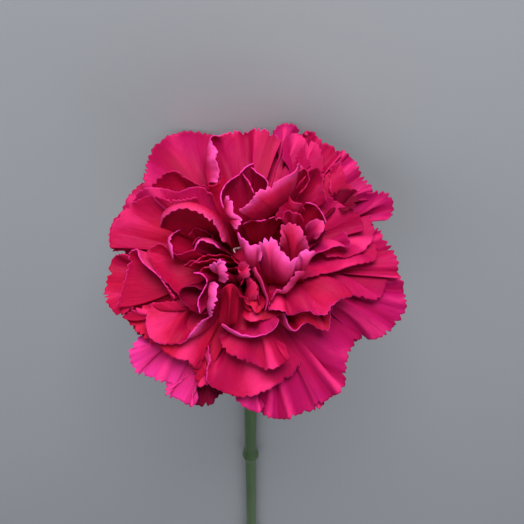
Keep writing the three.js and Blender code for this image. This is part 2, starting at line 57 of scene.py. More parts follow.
MM = 0.001
FACE_TILT = 40.0  # degrees that the open face of the bloom looks up from the horizontal
CALYX_TILT = 28.0  # degrees that the calyx rises
MOUTH_HEIGHT = 24.6  # centre of the calyx mouth above the table
CALYX_LENGTH = 27.0
STEM_LENGTH = 285.0  # from the calyx mouth to the cut end, along the table
JOINTS = ((0.4, 70.0), (1.0, 150.0), (1.6, 235.0))  # of the stem: sideways, and along the table
CLAW_RING = 4.4  # radius of the ring where the outer petals leave the calyx
SIGHT = 190.0  # distance from which the petals' places are seen, in front of the calyx mouth
SIGHT_LINE = 3.75  # how far beside the mouth the line of sight passes

Colour: TypeAlias = tuple[float, float, float]
Point: TypeAlias = tuple[float, float, float]
Number: TypeAlias = "float | Signal"

VEIN = (0.22, 0.0, 0.025)  # colours of a petal's veins, and of the shade painted on it
# painted shade in the valleys of a petal's folds
HOLLOW_SHADE = (0.25, 0.0, 0.03)
# painted shade towards a petal's foot
FOOT_SHADE = (0.3, 0.001, 0.02)
# painted shade along a rim without painted highlight
RIM_SHADE = (0.3, 0.0, 0.05)
# painted shade over a petal that lies in shadow
SHADOW_COLOUR = (0.13, 0.0, 0.018)
GREEN_MARGIN = (0.62, 0.66, 0.42)


# ---- Shaders ------------------------------------------------------------------------------


class Signal:
    """A shader value; arithmetic on it adds Math nodes."""

    def __init__(self, paint: "Paint", socket: bpy.types.NodeSocket) -> None:
        """Keeps the socket that gives the value, and the material it belongs to."""
        self.paint = paint
        self.socket = socket

    def _math(self, operation: str, first: Number, second: Number) -> "Signal":
        """One Math node on two values."""
        return self.paint.node("ShaderNodeMath", {"operation": operation}, {0: first, 1: second})

    def __add__(self, other: Number) -> "Signal":
        """Sum."""
        return self._math("ADD", self, other)

    __radd__ = __add__

    def __sub__(self, other: Number) -> "Signal":
        """Difference."""
        return self._math("SUBTRACT", self, other)

    def __rsub__(self, other: Number) -> "Signal":
        """Difference, the other way round."""
        return self._math("SUBTRACT", other, self)

    def __mul__(self, other: Number) -> "Signal":
        """Product."""
        return self._math("MULTIPLY", self, other)

    __rmul__ = __mul__


class Paint:
    """One procedural material, and the nodes that make it."""

    def __init__(self, name: str) -> None:
        """Starts an empty node tree with its output."""
        self.material = bpy.data.materials.new(name)
        self.material.use_nodes = True
        self.tree = self.material.node_tree
        self.tree.nodes.clear()
        self.output = self.tree.nodes.new("ShaderNodeOutputMaterial")

    def node(
        self, kind: str, settings: dict[str, object], inputs: dict[int | str, object], output: int | str = 0
    ) -> Signal:
        """Adds one node.

        Args:
            kind: the node's type.
            settings: its properties; "stops" gives a ramp's places and colours.
            inputs: numbers, colours or signals for its sockets.
            output: the socket that gives the result.

        Returns:
            The result.
        """
        node = self.tree.nodes.new(kind)
        for key, value in settings.items():
            if key == "stops":
                self._set_stops(node.color_ramp, value)
            else:
                setattr(node, key, value)
        for key, value in inputs.items():
            if isinstance(value, Signal):
                self.tree.links.new(value.socket, node.inputs[key])
            else:
                node.inputs[key].default_value = value
        return Signal(self, node.outputs[output])

    @staticmethod
    def _set_stops(ramp: bpy.types.ColorRamp, stops: list[tuple[float, Colour]]) -> None:
        """Gives a colour ramp its stops."""
        while len(ramp.elements) < len(stops):
            ramp.elements.new(1.0)
        for element, (place, colour) in zip(ramp.elements, stops):
            element.position = place
            element.color = (*colour, 1.0)

    def mix(self, factor: Number, first: Colour | Signal, second: Colour | Signal) -> Signal:
        """Mixes two colours."""
        settings = {"data_type": "RGBA", "clamp_factor": True}
        first, second = (c if isinstance(c, Signal) else (*c, 1.0) for c in (first, second))
        return self.node("ShaderNodeMix", settings, {0: factor, 6: first, 7: second}, 2)

    def step(self, value: Number, low: float, high: float) -> Signal:
        """A smooth step from 0 at low to 1 at high."""
        settings = {"interpolation_type": "SMOOTHSTEP"}
        return self.node("ShaderNodeMapRange", settings, {0: value, 1: low, 2: high, 3: 0.0, 4: 1.0})

    def noise(self, vector: Signal, scale: float, detail: float = 2.0) -> Signal:
        """Fractal noise from 0 to 1."""
        return self.node("ShaderNodeTexNoise", {}, {"Vector": vector, "Scale": scale, "Detail": detail})

    def place(self, x: Number, y: Number, z: Number) -> Signal:
        """A vector of three values."""
        return self.node("ShaderNodeCombineXYZ", {}, {0: x, 1: y, 2: z})

    def parts(self, vector: Signal) -> list[Signal]:
        """The three values of a vector."""
        first = self.node("ShaderNodeSeparateXYZ", {}, {0: vector})
        return [Signal(self, socket) for socket in first.socket.node.outputs]

    def grid(self) -> list[Signal]:
        """The piece's own UV map: across a petal or round a stem, and along it."""
        return self.parts(self.node("ShaderNodeUVMap", {"uv_map": "grain"}, {}))[:2]

    def own(self, name: str) -> Signal:
        """A number kept at the piece's points."""
        return self.node("ShaderNodeAttribute", {"attribute_name": name}, {}, "Fac")

    def bump(self, height: Signal, strength: float, distance: float) -> Signal:
        """A relief, with its depth in metres."""
        inputs = {"Strength": strength, "Distance": distance, "Height": height}
        return self.node("ShaderNodeBump", {}, inputs)

    def finish(self, surface: Signal) -> bpy.types.Material:
        """Connects the finished surface and returns the material."""
        self.tree.links.new(surface.socket, self.output.inputs["Surface"])
        return self.material


class Face(Enum):
    """The two faces of a petal."""

    INNER = "inner"
    OUTER = "outer"


class PetalGrain:
    """The patterns of a petal's tissue and of its painted light and shade, and the numbers kept at its
    points.
    """

    def __init__(self, paint: Paint) -> None:
        """Adds the nodes; a petal's tone also gives it patterns of its own."""
        across, self.along = paint.grid()
        self.tone, self.crest, self.lit = (paint.own(name) for name in ("tone", "crest", "lit"))
        self.cloud = self._noise(paint, across * 3.0, 2.4, 53.0, 1.0)
        bent = across + (self.cloud - 0.5) * 0.12
        self.veins = self._noise(paint, bent * 46.0, 1.6, 37.0, 3.0)
        # Broad bands of painted pleat light and shade, with no relief of their own.
        self.pleat_shading = self._noise(paint, bent * 5.0, 1.8, 19.0, 1.0)
        # Fine crinkles: a relief, and painted light and shade in the colour.
        self.crinkle = self._noise(paint, bent * 12.0, 7.0, 71.0, 2.0)

    def _noise(self, paint: Paint, across: Signal, length: float, shift: float, detail: float) -> Signal:
        """Noise drawn out along the petal."""
        return paint.noise(paint.place(across, self.along * length, self.tone * shift), 1.0, detail)


@dataclass(frozen=True)
class PetalFinish:
    """Velvety petal tissue with fine veins that fan out from the claw.

    red and magenta are its two hues and margin the painted highlight on its folds' crests. blush is
    the pink of the painted highlight along its rim, which also pales the outer half of pale petals,
    partly as their own paler colour. vein_depth is how dark its veins are, and rim_highlight_start where
    the painted rim highlight begins.
    """

    face: Face
    red: Colour
    magenta: Colour
    crest_highlight: Colour
    blush_and_highlight: Colour
    vein_depth: float
    rim_highlight_start: float

    def material(self) -> bpy.types.Material:
        """Makes the material."""
        paint = Paint(f"petal_{self.face.value}")
        grain = PetalGrain(paint)
        inputs = {
            "Base Color": self._rimmed(paint, grain, self._tissue_and_shade(paint, grain)),
            "Roughness": 0.42 + grain.veins * 0.2,
            "Normal": paint.bump(grain.veins * 0.5 + grain.crinkle, 0.3, 0.0008),
            "Specular IOR Level": 0.06,
            "Subsurface Weight": 0.2,
            "Subsurface Radius": (1.0, 0.2, 0.35),
            "Subsurface Scale": 0.0008,
            "Sheen Weight": 0.1,
            "Sheen Roughness": 0.35,
            "Sheen Tint": (1.0, 0.03, 0.2, 1.0),
        }
        return paint.finish(paint.node("ShaderNodeBsdfPrincipled", {}, inputs))

    def _tissue_and_shade(self, paint: Paint, grain: PetalGrain) -> Signal:
        """The blade's colour: its hue and its veins, with painted shade in its hollows and towards its
        foot.
        """
        hue = paint.step(grain.tone + (grain.cloud - 0.5) * 0.7, 0.0, 1.0)
        hue = hue * (1.0 - paint.step(grain.tone, 1.0, 1.5) * 0.6)
        colour = paint.mix(hue, self.red, self.magenta)
        colour = paint.mix(paint.step(grain.veins, 0.38, 0.66) * self.vein_depth, colour, VEIN)
        # Painted shade in the valleys of the folds, real and in the pleat pattern.
        low = grain.pleat_shading * 0.4 + grain.crinkle * 0.3 - grain.crest * 0.5
        colour = paint.mix(paint.step(low, 0.2, 0.8) * 0.5, colour, HOLLOW_SHADE)
        # Painted shade towards the claw, where the petals over it shade the foot.
        foot_shade = (1.0 - paint.step(grain.along, 0.25, 0.9)) * 0.75
        return paint.mix(foot_shade, colour, FOOT_SHADE)

    def _rimmed(self, paint: Paint, grain: PetalGrain, colour: Signal) -> Signal:
        """That colour with its painted highlights and shade, and the paler outer half of pale petals."""
        # The outer half of pale petals: their own paler colour, with painted highlight.
        pale = paint.step(grain.tone, 1.0, 1.7) * paint.step(grain.along, 0.5, 1.0)
        colour = paint.mix(pale, colour, self.blush_and_highlight)
        # Painted highlight on the crests of the folds, real and in the pleat pattern.
        high = grain.pleat_shading * 0.5 + grain.crinkle * 0.4 + grain.crest * 0.4
        ridge = paint.step(high, 0.45, 0.95) * paint.step(grain.along, 0.3, 0.9) * 0.6
        colour = paint.mix(ridge, colour, self.crest_highlight)
        # Painted shade along the rim, fading out as the rim's lit value grows.
        rim_shade = paint.step(grain.along, 0.965, 0.99) * (0.6 - grain.lit)
        colour = paint.mix(rim_shade, colour, RIM_SHADE)
        # Painted highlight along the rim, in patches, as strong as the petal's lit value.
        patchy = 0.5 + paint.step(grain.cloud, 0.35, 0.6) * 0.5
        rim = paint.step(grain.along, self.rim_highlight_start, 1.0) * grain.lit * patchy
        colour = paint.mix(rim, colour, self.blush_and_highlight)
        # Painted shade over petals with a tone below 0, which lie in shadow.
        shadow_share = (1.0 - paint.step(grain.tone, -0.4, 0.0)) * 0.93
        return paint.mix(shadow_share, colour, SHADOW_COLOUR)


@dataclass(frozen=True)
class GreenFinish:
    """Waxy green skin with fine lines along it."""

    name: str
    light: Colour
    dark: Colour
    lines: float
    pale_edge: float = 0.0

    def material(self) -> bpy.types.Material:
        """Makes the material."""
        paint = Paint(self.name)
        across, along = paint.grid()
        fibres = paint.noise(paint.place(across * self.lines, along * 2.0, 0.3), 1.0, 2.0)
        patches = paint.noise(paint.place(across * 3.0, along * 9.0, 0.7), 1.0, 3.0)
        colour = paint.mix(paint.step(patches * 0.6 + fibres * 0.4, 0.3, 0.7), self.dark, self.light)
        colour = paint.mix(paint.step(along, 0.93, 1.0) * self.pale_edge, colour, GREEN_MARGIN)
        inputs = {
            "Base Color": colour,
            "Roughness": 0.4 + patches * 0.25,
            "Normal": paint.bump(fibres, 0.4, 0.0002),
            "Specular IOR Level": 0.4,
            "Subsurface Weight": 0.1,
            "Subsurface Radius": (0.4, 1.0, 0.3),
            "Subsurface Scale": 0.0008,
            "Sheen Weight": 0.15,
        }
        return paint.finish(paint.node("ShaderNodeBsdfPrincipled", {}, inputs))


@dataclass(frozen=True)
class PlainFinish:
    """A softly mottled finish by place, for the styles, the cut end and the table."""

    name: str
    colour: Colour
    other: Colour
    scale: float
    roughness: float

    def material(self) -> bpy.types.Material:
        """Makes the material."""
        paint = Paint(self.name)
        here = paint.node("ShaderNodeTexCoord", {}, {}, "Object")
        mottle = paint.noise(here, self.scale, 3.0)
        colour = paint.mix(paint.step(mottle, 0.3, 0.7), self.colour, self.other)
        inputs = {"Base Color": colour, "Roughness": self.roughness}
        return paint.finish(paint.node("ShaderNodeBsdfPrincipled", {}, inputs))


# ---- Meshes -------------------------------------------------------------------------------


@dataclass
class Piece:
    """A mesh in the making, with the layers that its finish reads."""

    name: str
    mesh: bmesh.types.BMesh = field(default_factory=bmesh.new)

    def __post_init__(self) -> None:
        """Adds the UV map and the layers of numbers."""
        self.grain = self.mesh.loops.layers.uv.new("grain")
        self.tone = self.mesh.verts.layers.float.new("tone")
        self.crest = self.mesh.verts.layers.float.new("crest")
        self.lit = self.mesh.verts.layers.float.new("lit")

    def form(
        self,
        columns: int,
        rows: int,
        shape: Callable[[np.ndarray, np.ndarray], np.ndarray],
        tone: float = 0.5,
        lit: float = 0.0,
        closed: bool = False,
        turned_over: bool = False,
    ) -> list[bmesh.types.BMVert]:
        """Shapes a flat grid into a curved sheet.

        Args:
            columns: faces across.
            rows: faces along.
            shape: gives the points, in metres, for places across (-1 to 1) and along (0 to 1), and
                with them, if it likes, how far a fold rises there.
            tone: kept at its points for the finish.
            lit: kept there too.
            closed: whether its two sides meet, as on a tube.
            turned_over: whether its faces look the other way.

        Returns:
            The sheet's points.
        """
        made = bmesh.ops.create_grid(self.mesh, x_segments=columns, y_segments=rows, size=1.0)
        verts = made["verts"]
        flat = np.array([v.co[:2] for v in verts])
        across, along = flat[:, 0], (flat[:, 1] + 1.0) / 2.0
        faces = {face for v in verts for face in v.link_faces}
        for face in faces:
            face.smooth = True
            for loop in face.loops:
                loop[self.grain].uv = ((loop.vert.co.x + 1.0) / 2.0, (loop.vert.co.y + 1.0) / 2.0)
        for vert, point in zip(verts, shape(across, along)):
            vert.co = point[:3]
            vert[self.tone] = tone
            vert[self.lit] = lit
            vert[self.crest] = point[3] if len(point) > 3 else 0.0
        if turned_over:
            bmesh.ops.reverse_faces(self.mesh, faces=list(faces))
        if closed:
            bmesh.ops.remove_doubles(self.mesh, verts=verts, dist=1e-6)
        return [v for v in verts if v.is_valid]

    def make(self, *materials: bpy.types.Material) -> bpy.types.Object:
        """Turns the mesh into an object with its materials."""
        data = bpy.data.meshes.new(self.name)
        self.mesh.to_mesh(data)
        self.mesh.free()
        made = bpy.data.objects.new(self.name, data)
        bpy.context.scene.collection.objects.link(made)
        for material in materials:
            data.materials.append(material)
        LOG.info("%s: %d faces", self.name, len(data.polygons))
        return made


def thicken(piece: bpy.types.Object, thickness: float, offset: float = 0.0, outer: int = 0) -> None:
    """Gives a sheet its thickness.

    Args:
        piece: the sheet.
        thickness: in millimetres.
        offset: -1 to grow behind the faces, 1 in front, 0 both ways.
        outer: how many slots further the back face's material is.
    """
    wall = piece.modifiers.new("thickness", "SOLIDIFY")
    wall.thickness = thickness * MM
    wall.offset = offset
    wall.material_offset = outer


# ---- Where the head sits ------------------------------------------------------------------


class Seat:
    """Where the bloom's head and its calyx lie, read from the frame."""

    def __init__(self) -> None:
        """Works out the calyx mouth's place and the two sets of axes there."""
        left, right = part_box("leaf_left"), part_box("leaf_right")
        self.mouth = Vector(
            (
                (left[1].x + right[0].x) / 2 - JOINTS[0][0] * MM,
                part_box("stem")[1].y - STEM_LENGTH * MM,
                MOUTH_HEIGHT * MM,
            )
        )
        tilt = math.radians(FACE_TILT)
        self.right = Vector((-1.0, 0.0, 0.0))
        self.up = Vector((0.0, -math.sin(tilt), -math.cos(tilt)))
        self.facing = Vector((0.0, -math.cos(tilt), math.sin(tilt)))
        axes = Matrix((self.right, self.up, self.facing)).transposed()
        self.head = Matrix.Translation(self.mouth) @ axes.to_4x4() @ Matrix.Scale(MM, 4)
        nod = Matrix.Rotation(math.radians(CALYX_TILT - FACE_TILT), 4, "X")
        self.calyx = self.head @ nod

    @staticmethod
    def put(frame_of: Matrix, points: np.ndarray) -> np.ndarray:
        """Takes points, in millimetres in one of the seat's frames, to the table's, in metres."""
        matrix = np.array(frame_of)
        return points @ matrix[:3, :3].T + matrix[:3, 3]


# ---- Curves -------------------------------------------------------------------------------


def unit(rows: np.ndarray) -> np.ndarray:
    """Vectors, one to a row, brought to a length of 1."""
    return rows / np.linalg.norm(rows, axis=1)[:, None]


def eased(value: np.ndarray) -> np.ndarray:
    """A smooth step from 0 at 0 to 1 at 1."""
    value = np.clip(value, 0.0, 1.0)
    return value**2 * (3.0 - 2.0 * value)


def rounded(depth: np.ndarray, reach: float) -> np.ndarray:
    """How full a rod is, from 0 at its round end to 1 where the depth from there is reach."""
    near = np.clip(depth / reach, 0.0, 1.0)
    return np.sqrt(1.0 - (1.0 - near) ** 2)


class Curve:
    """A smooth curve through knots: points in rows, and after their place any other numbers."""

    def __init__(self, knots: np.ndarray) -> None:
        """Measures the way from knot to knot, and the slope at each."""
        self.knots = knots
        self.chords = np.linalg.norm(np.diff(knots[:, :3], axis=0), axis=1)
        self.reach = np.concatenate(([0.0], np.cumsum(self.chords)))
        self.slopes = np.gradient(knots, self.reach, axis=0)

    @property
    def length(self) -> float:
        """The length from knot to knot."""
        return float(self.reach[-1])

    def _find(self, places: np.ndarray) -> tuple[np.ndarray, np.ndarray, np.ndarray]:
        """The knot before each place, the way to the next one, and the share of it gone."""
        at = np.clip(places, 0.0, 1.0) * self.length
        k = np.clip(np.searchsorted(self.reach, at, side="right") - 1, 0, len(self.chords) - 1)
        span = self.chords[k][:, None]
        return k, span, (at - self.reach[k])[:, None] / span

    def points(self, places: np.ndarray) -> np.ndarray:
        """The points at places from 0 to 1 of the length."""
        k, span, t = self._find(places)
        leaving = (1 + 2 * t) * (1 - t) ** 2 * self.knots[k] + t * (1 - t) ** 2 * span * self.slopes[k]
        coming = t**2 * (3 - 2 * t) * self.knots[k + 1] + t**2 * (t - 1) * span * self.slopes[k + 1]
        return leaving + coming

    def ways(self, places: np.ndarray) -> np.ndarray:
        """The directions there."""
        k, span, t = self._find(places)
        ways = 6 * t * (1 - t) * (self.knots[k + 1] - self.knots[k]) / span
        ways += (1 - t) * (1 - 3 * t) * self.slopes[k] + t * (3 * t - 2) * self.slopes[k + 1]
        return unit(ways)


def swept(curve: Curve, radius: np.ndarray, across: np.ndarray, along: np.ndarray) -> np.ndarray:
    """Points of a round rod along a curve.

    Args:
        curve: its middle line.
        radius: at each point.
        across: round the rod, from -1 to 1.
        along: along the curve, from 0 to 1.

    Returns:
        The points.
    """
    way = curve.ways(along)
    side = np.cross(way, (0.0, 0.0, 1.0))
    upright = np.linalg.norm(side, axis=1) < 0.2
    side[upright] = np.cross(way[upright], (0.0, 1.0, 0.0))
    side = unit(side)
    top = np.cross(side, way)
    angle = math.pi * across[:, None]
    return curve.points(along) + radius[:, None] * (side * np.cos(angle) + top * np.sin(angle))


# ---- Petals -------------------------------------------------------------------------------


@dataclass(frozen=True)
class Petal:
    """One petal, in millimetres and degrees, seen along the way the bloom faces.

    rim holds points of its toothed edge, clockwise round its root: across, up, height over the
    mouth, and lean, the slope at which the blade arrives there. 0 lies flat, 90 stands up and
    more curls back over the centre. Across and up are as the eye sees them from the sight's
    distance. folds is the number of its waves and depth their height at the rim. tone goes from
    the heart's red to the outer magenta; below 0 it also darkens the petal with painted shade,
    and above 1 it pales the outer half, partly with painted highlight. root is where its blade
    begins, if not on the calyx's mouth. under_up shows its outer face to the front. spread is how
    wide its blade is over the claw, as a share of its rim, teeth the share of the usual depth of
    its teeth, and lit how strongly its rim is painted with highlight rather than with shade.
    """

    rim: tuple[tuple[float, float, float, float], ...]
    folds: float
    depth: float
    tone: float
    root: Point | None = None
    under_up: bool = False
    spread: float = 0.2
    teeth: float = 1.0
    lit: float = 0.15

    def edge(self) -> Curve:
        """The rim's line in the head's frame, which carries its lean."""
        points = np.array(self.rim, dtype=float)
        nearer = 1.0 - points[:, 2] / SIGHT
        points[:, 0] = SIGHT_LINE + (points[:, 0] - SIGHT_LINE) * nearer
        points[:, 1] *= nearer
        return Curve(points)

    def base(self) -> np.ndarray:
        """Where its blade begins."""
        if self.root is not None:
            return np.array(self.root, dtype=float)
        middle = self.edge().knots[:, :2].mean(axis=0)
        return np.array((*middle * CLAW_RING / np.linalg.norm(middle), 0.0))


@dataclass
class Bloom:
    """The bloom: petals in whorls, with toothed, waved rims, on a bundle of claws."""

    seat: Seat
    claw: float = 1.0  # half the width of a petal's claw
    claw_part: float = 0.1  # of a petal's length, in its rows
    claw_depth: float = 3.0  # how far its foot lies under the mouth
    claw_inset: float = 0.35  # how far out its foot lies, as a share of its top
    pull: float = 0.42  # how far a petal keeps the directions of its two ends
    square: float = 0.65  # how far it meets its rim square, and not straight from its base
    rim_step: float = 0.07  # stretch of the rim, to each side, that gives the rim's direction
    crowding: float = 1.5  # how much denser its rows are towards the rim
    tooth_start: float = 0.86  # where along the blade its teeth begin to show
    thickness: float = 0.26
    tooth_pitch: float = 1.5
    tooth_depth: float = 0.75
    rows: int = 18
    pressed: float = 0.25  # how far the lowest rims lie above the table
    stacked: float = 0.45  # how much higher the next ones lie
    give: float = 1.0  # height over which a petal bends to lie flat
    seed: int = 11

    def __post_init__(self) -> None:
        """Starts the seeded draw."""
        self.draw = random.Random(self.seed)

    def add_petal(self, piece: Piece, petal: Petal, layer: int) -> None:
        """Adds one petal to a whorl.

        Args:
            piece: the whorl.
            petal: the petal.
            layer: its turn in the whorl, which parts rims that are pressed on the table.
        """
        teeth = max(4, round(petal.edge().length / self.tooth_pitch))
        columns = 4 * teeth
        widths = np.repeat([self.draw.uniform(0.55, 1.45) for _ in range(teeth)], 4)
        places = np.concatenate(([0.0], np.cumsum(widths) / widths.sum()))
        surface = self.surface(petal, places, self.tooth_cuts(teeth) * petal.teeth)

        def shape(across: np.ndarray, along: np.ndarray) -> np.ndarray:
            """Bends the flat grid into the petal."""
            column = np.rint((across + 1.0) / 2.0 * columns).astype(int)
            row = np.rint(along * self.rows).astype(int)
            here = surface[row, column]
            points = self.pressed_flat(self.seat.put(self.seat.head, here[:, :3]), layer)
            return np.column_stack((points, here[:, 3]))

        piece.form(columns, self.rows, shape, petal.tone, petal.lit, turned_over=petal.under_up)

    def surface(self, petal: Petal, places: np.ndarray, cuts: np.ndarray) -> np.ndarray:
        """A petal's middle surface, as rows of points from its claw to its rim.

        Args:
            petal: the petal.
            places: where its columns are, from 0 to 1 along its rim.
            cuts: how far each column's tooth is cut back, in millimetres.

        Returns:
            The points, in the head's frame, and how far a fold rises at each.
        """
        end = petal.edge().points(places)[:, :3]
        start = petal.base()
        reach = np.linalg.norm(end.mean(axis=0) - start)
        pull = self.pull * reach
        chord = (end[-1] - end[0]) * (1.0, 1.0, 0.0)
        half = np.linalg.norm(chord) / 2
        side = (2.0 * places - 1.0)[:, None] * chord / (2 * half)
        claw_foot = start * (self.claw_inset, self.claw_inset, 0.0) - (0.0, 0.0, self.claw_depth)
        p0 = start + side * self.claw
        p1 = start + (0.0, 0.0, pull) + side * (self.claw + petal.spread * half)
        p2 = end - self.arrival(petal, places) * pull
        rows = []
        for along in 1.0 - (1.0 - np.linspace(0.0, 1.0, self.rows + 1)) ** self.crowding:
            if along < self.claw_part:
                rows.append(claw_foot + (p0 - claw_foot) * along / self.claw_part)
                continue
            t = (along - self.claw_part) / (1.0 - self.claw_part)
            toothed = max(0.0, (t - self.tooth_start) / (1.0 - self.tooth_start)) ** 2
            t = (t - cuts / (1.2 * reach) * toothed)[:, None]
            s = 1.0 - t
            rows.append(s**3 * p0 + 3 * s**2 * t * p1 + 3 * s * t**2 * p2 + t**3 * end)
        return self.folded(petal, np.array(rows), places)

    def arrival(self, petal: Petal, places: np.ndarray) -> np.ndarray:
        """The directions in which a petal's blade meets its rim at the places."""
        edge = petal.edge()
        ends = edge.points(places)
        flow = edge.points(places + self.rim_step) - edge.points(places - self.rim_step)
        square = np.column_stack((-flow[:, 1], flow[:, 0])) / np.linalg.norm(flow[:, :2], axis=1)[:, None]
        straight = unit((ends[:, :3] - petal.base())[:, :2])
        outward = unit(self.square * square + (1.0 - self.square) * straight)
        lean = np.radians(ends[:, 3])[:, None]
        return np.concatenate((outward * np.cos(lean), np.sin(lean)), axis=1)

    def folded(self, petal: Petal, grid: np.ndarray, places: np.ndarray) -> np.ndarray:
        """Waves a petal's surface in uneven folds that fan out from its claw."""
        phase = 1.3 * petal.rim[0][0] + 2.1 * petal.rim[0][1]  # so that no two petals fold alike
        along = np.linspace(0.0, 1.0, len(grid))[:, None]
        turns = 2 * math.pi * petal.folds * places[None, :]
        bend = 0.9 * np.sin(0.31 * turns + phase + 5.1)
        wave = np.sin(turns + phase + bend) + 0.35 * np.sin(1.9 * turns + phase + 1.7 + along)
        uneven = 0.75 + 0.4 * np.sin(0.53 * turns + 1.7 * phase)
        flutter = 0.1 * np.sin(3.7 * turns + phase + 2.0 * bend) * along**5
        crest = wave * uneven * along
        height = petal.depth * (0.62 * crest * along**0.6 + flutter)
        normal = np.cross(np.gradient(grid, axis=1), np.gradient(grid, axis=0))
        normal /= np.linalg.norm(normal, axis=2)[:, :, None] + 1e-9
        return np.dstack((grid + normal * height[:, :, None], crest))

    def tooth_cuts(self, teeth: int) -> np.ndarray:
        """How far each column of a petal's rim is cut back, in millimetres."""
        valleys = [self.tooth_depth * (0.55 + 1.5 * self.draw.random() ** 3) for _ in range(teeth + 1)]
        tips = [self.tooth_depth * self.draw.uniform(0.0, 0.5) for _ in range(teeth)]
        cuts = []
        for tooth in range(teeth):
            here, tip, after = valleys[tooth], tips[tooth], valleys[tooth + 1]
            cuts += [here, 0.45 * here + 0.55 * tip, tip, 0.55 * tip + 0.45 * after]
        return np.array(cuts + [valleys[-1]])

    def pressed_flat(self, points: np.ndarray, layer: int) -> np.ndarray:
        """Presses flat, softly, what would pass through the table."""
        floor = (self.pressed + self.stacked * (layer % 3)) * MM
        give = self.give * MM
        below = np.minimum(points[:, 2] - floor - give, 0.0)
        height = np.where(below < 0.0, floor + give * np.exp(below / give), points[:, 2])
        return np.column_stack((points[:, :2], height))

    def build(self, whorls: dict[str, list[Petal]], finishes: list[bpy.types.Material]) -> None:
        """Builds each whorl as a piece of its own.

        Args:
            whorls: the petals of each whorl, by the name of its piece.
            finishes: the inner face's material, and the outer's.
        """
        for name, petals in whorls.items():
            piece = Piece(name)
            for layer, petal in enumerate(petals):
                self.add_petal(piece, petal, layer)
            made = piece.make(*finishes)
            thicken(made, self.thickness, outer=1)
            settle(made, "petals", "bloom")


def settle(piece: bpy.types.Object, slot: str, *nodes: str) -> None:
    """Hangs a piece under the root body and hides the nodes that it stands for."""
    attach(piece, "root")
    if nodes:
        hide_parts(*nodes)


# ---- Green parts and styles ---------------------------------------------------------------


@dataclass
class Calyx:
    """The green toothed tube that holds the claws, with the small scales at its foot."""

    seat: Seat
    wall: float = 0.8
    profile: tuple[tuple[float, float], ...] = (  # height from the mouth, and radius
        (-27.0, 2.4),
        (-26.0, 4.1),
        (-23.5, 5.2),
        (-17.0, 6.0),
        (-7.0, 6.4),
        (3.0, 6.4),
    )
    teeth: int = 5
    tip: float = 2.6  # height of its teeth over the mouth
    notch: float = 6.0  # depth between two teeth
    ribs: int = 10
    rib: float = 0.1  # height of a rib
    scales: int = 4
    scale_length: float = 9.5
    scale_thickness: float = 0.5
    claws: tuple[tuple[float, float], ...] = (  # share of the claws' height, and radius
        (0.0, 2.4),
        (0.15, 4.3),
        (0.5, 5.0),
        (0.85, 5.2),
        (0.93, 4.4),
        (1.0, 0.05),
    )
    claws_foot: float = -20.0
    claws_height: float = 24.0
    claw_ribs: int = 14  # round the bundle of claws

    def tube(self, across: np.ndarray, along: np.ndarray) -> np.ndarray:
        """The tube's outer face, from the middle of its foot up to its teeth."""
        angle = math.pi * across
        turn = (angle / (2 * math.pi) * self.teeth + 0.25 * self.teeth) % 1.0
        tooth = (1.0 - np.abs(2.0 * turn - 1.0)) ** 0.8
        top = self.tip - self.notch * (1.0 - tooth)
        height = -CALYX_LENGTH + along * (top + CALYX_LENGTH)
        radius = np.interp(height, *np.transpose(self.profile))
        radius += self.rib * np.cos(self.ribs * angle) * np.clip((height + 24.0) / 6.0, 0.0, 1.0)
        foot = np.clip(along * 30.0, 0.0, 1.0)
        height = np.where(foot < 1.0, -CALYX_LENGTH, height)
        return self.around(angle, radius * foot, height)

    def scale(self, turn: float, across: np.ndarray, along: np.ndarray) -> np.ndarray:
        """One pointed scale that clasps the tube's foot."""
        spread = 0.95 * (1.0 - along**2) + 0.04
        radius = 3.4 + 2.4 * np.clip(1.3 * along, 0.0, 1.0) + 0.4 + 0.35 * along - 0.25 * across**2
        angle = turn + across * spread
        return self.around(angle, radius, -CALYX_LENGTH + 0.5 + self.scale_length * along)

    def claw_skin(self, across: np.ndarray, along: np.ndarray) -> np.ndarray:
        """A ribbed plug of claws, from inside the calyx to over its mouth."""
        angle = math.pi * across
        radius = np.interp(along, *np.transpose(self.claws)) * (1.0 + 0.04 * np.cos(self.claw_ribs * angle))
        return self.around(angle, radius, self.claws_foot + self.claws_height * along)

    def around(self, angle: np.ndarray, radius: np.ndarray, height: np.ndarray) -> np.ndarray:
        """Points round the calyx's middle line."""
        points = np.column_stack((radius * np.cos(angle), radius * np.sin(angle), height))
        return self.seat.put(self.seat.calyx, points)

    def build(self, skin: bpy.types.Material, scale_skin: bpy.types.Material) -> None:
        """Builds the tube and its scales."""
        piece = Piece("calyx_tube")
        piece.form(160, 60, self.tube, closed=True)
        made = piece.make(skin)
        thicken(made, self.wall, -1.0)
        settle(made, "calyx", "calyx")
        piece = Piece("calyx_scales")
        for n in range(self.scales):
            turn = 2 * math.pi * (n + 0.5) / self.scales
            piece.form(20, 24, lambda u, v, turn=turn: self.scale(turn, u, v))
        made = piece.make(scale_skin)
        thicken(made, self.scale_thickness)
        settle(made, "calyx", "calyx")

    def build_claws(self, finish: bpy.types.Material) -> None:
        """Builds the bundle of petal claws inside the calyx."""
        piece = Piece("claws")
        piece.form(84, 30, self.claw_skin, 0.3, closed=True)
        settle(piece.make(finish), "petals", "bloom")


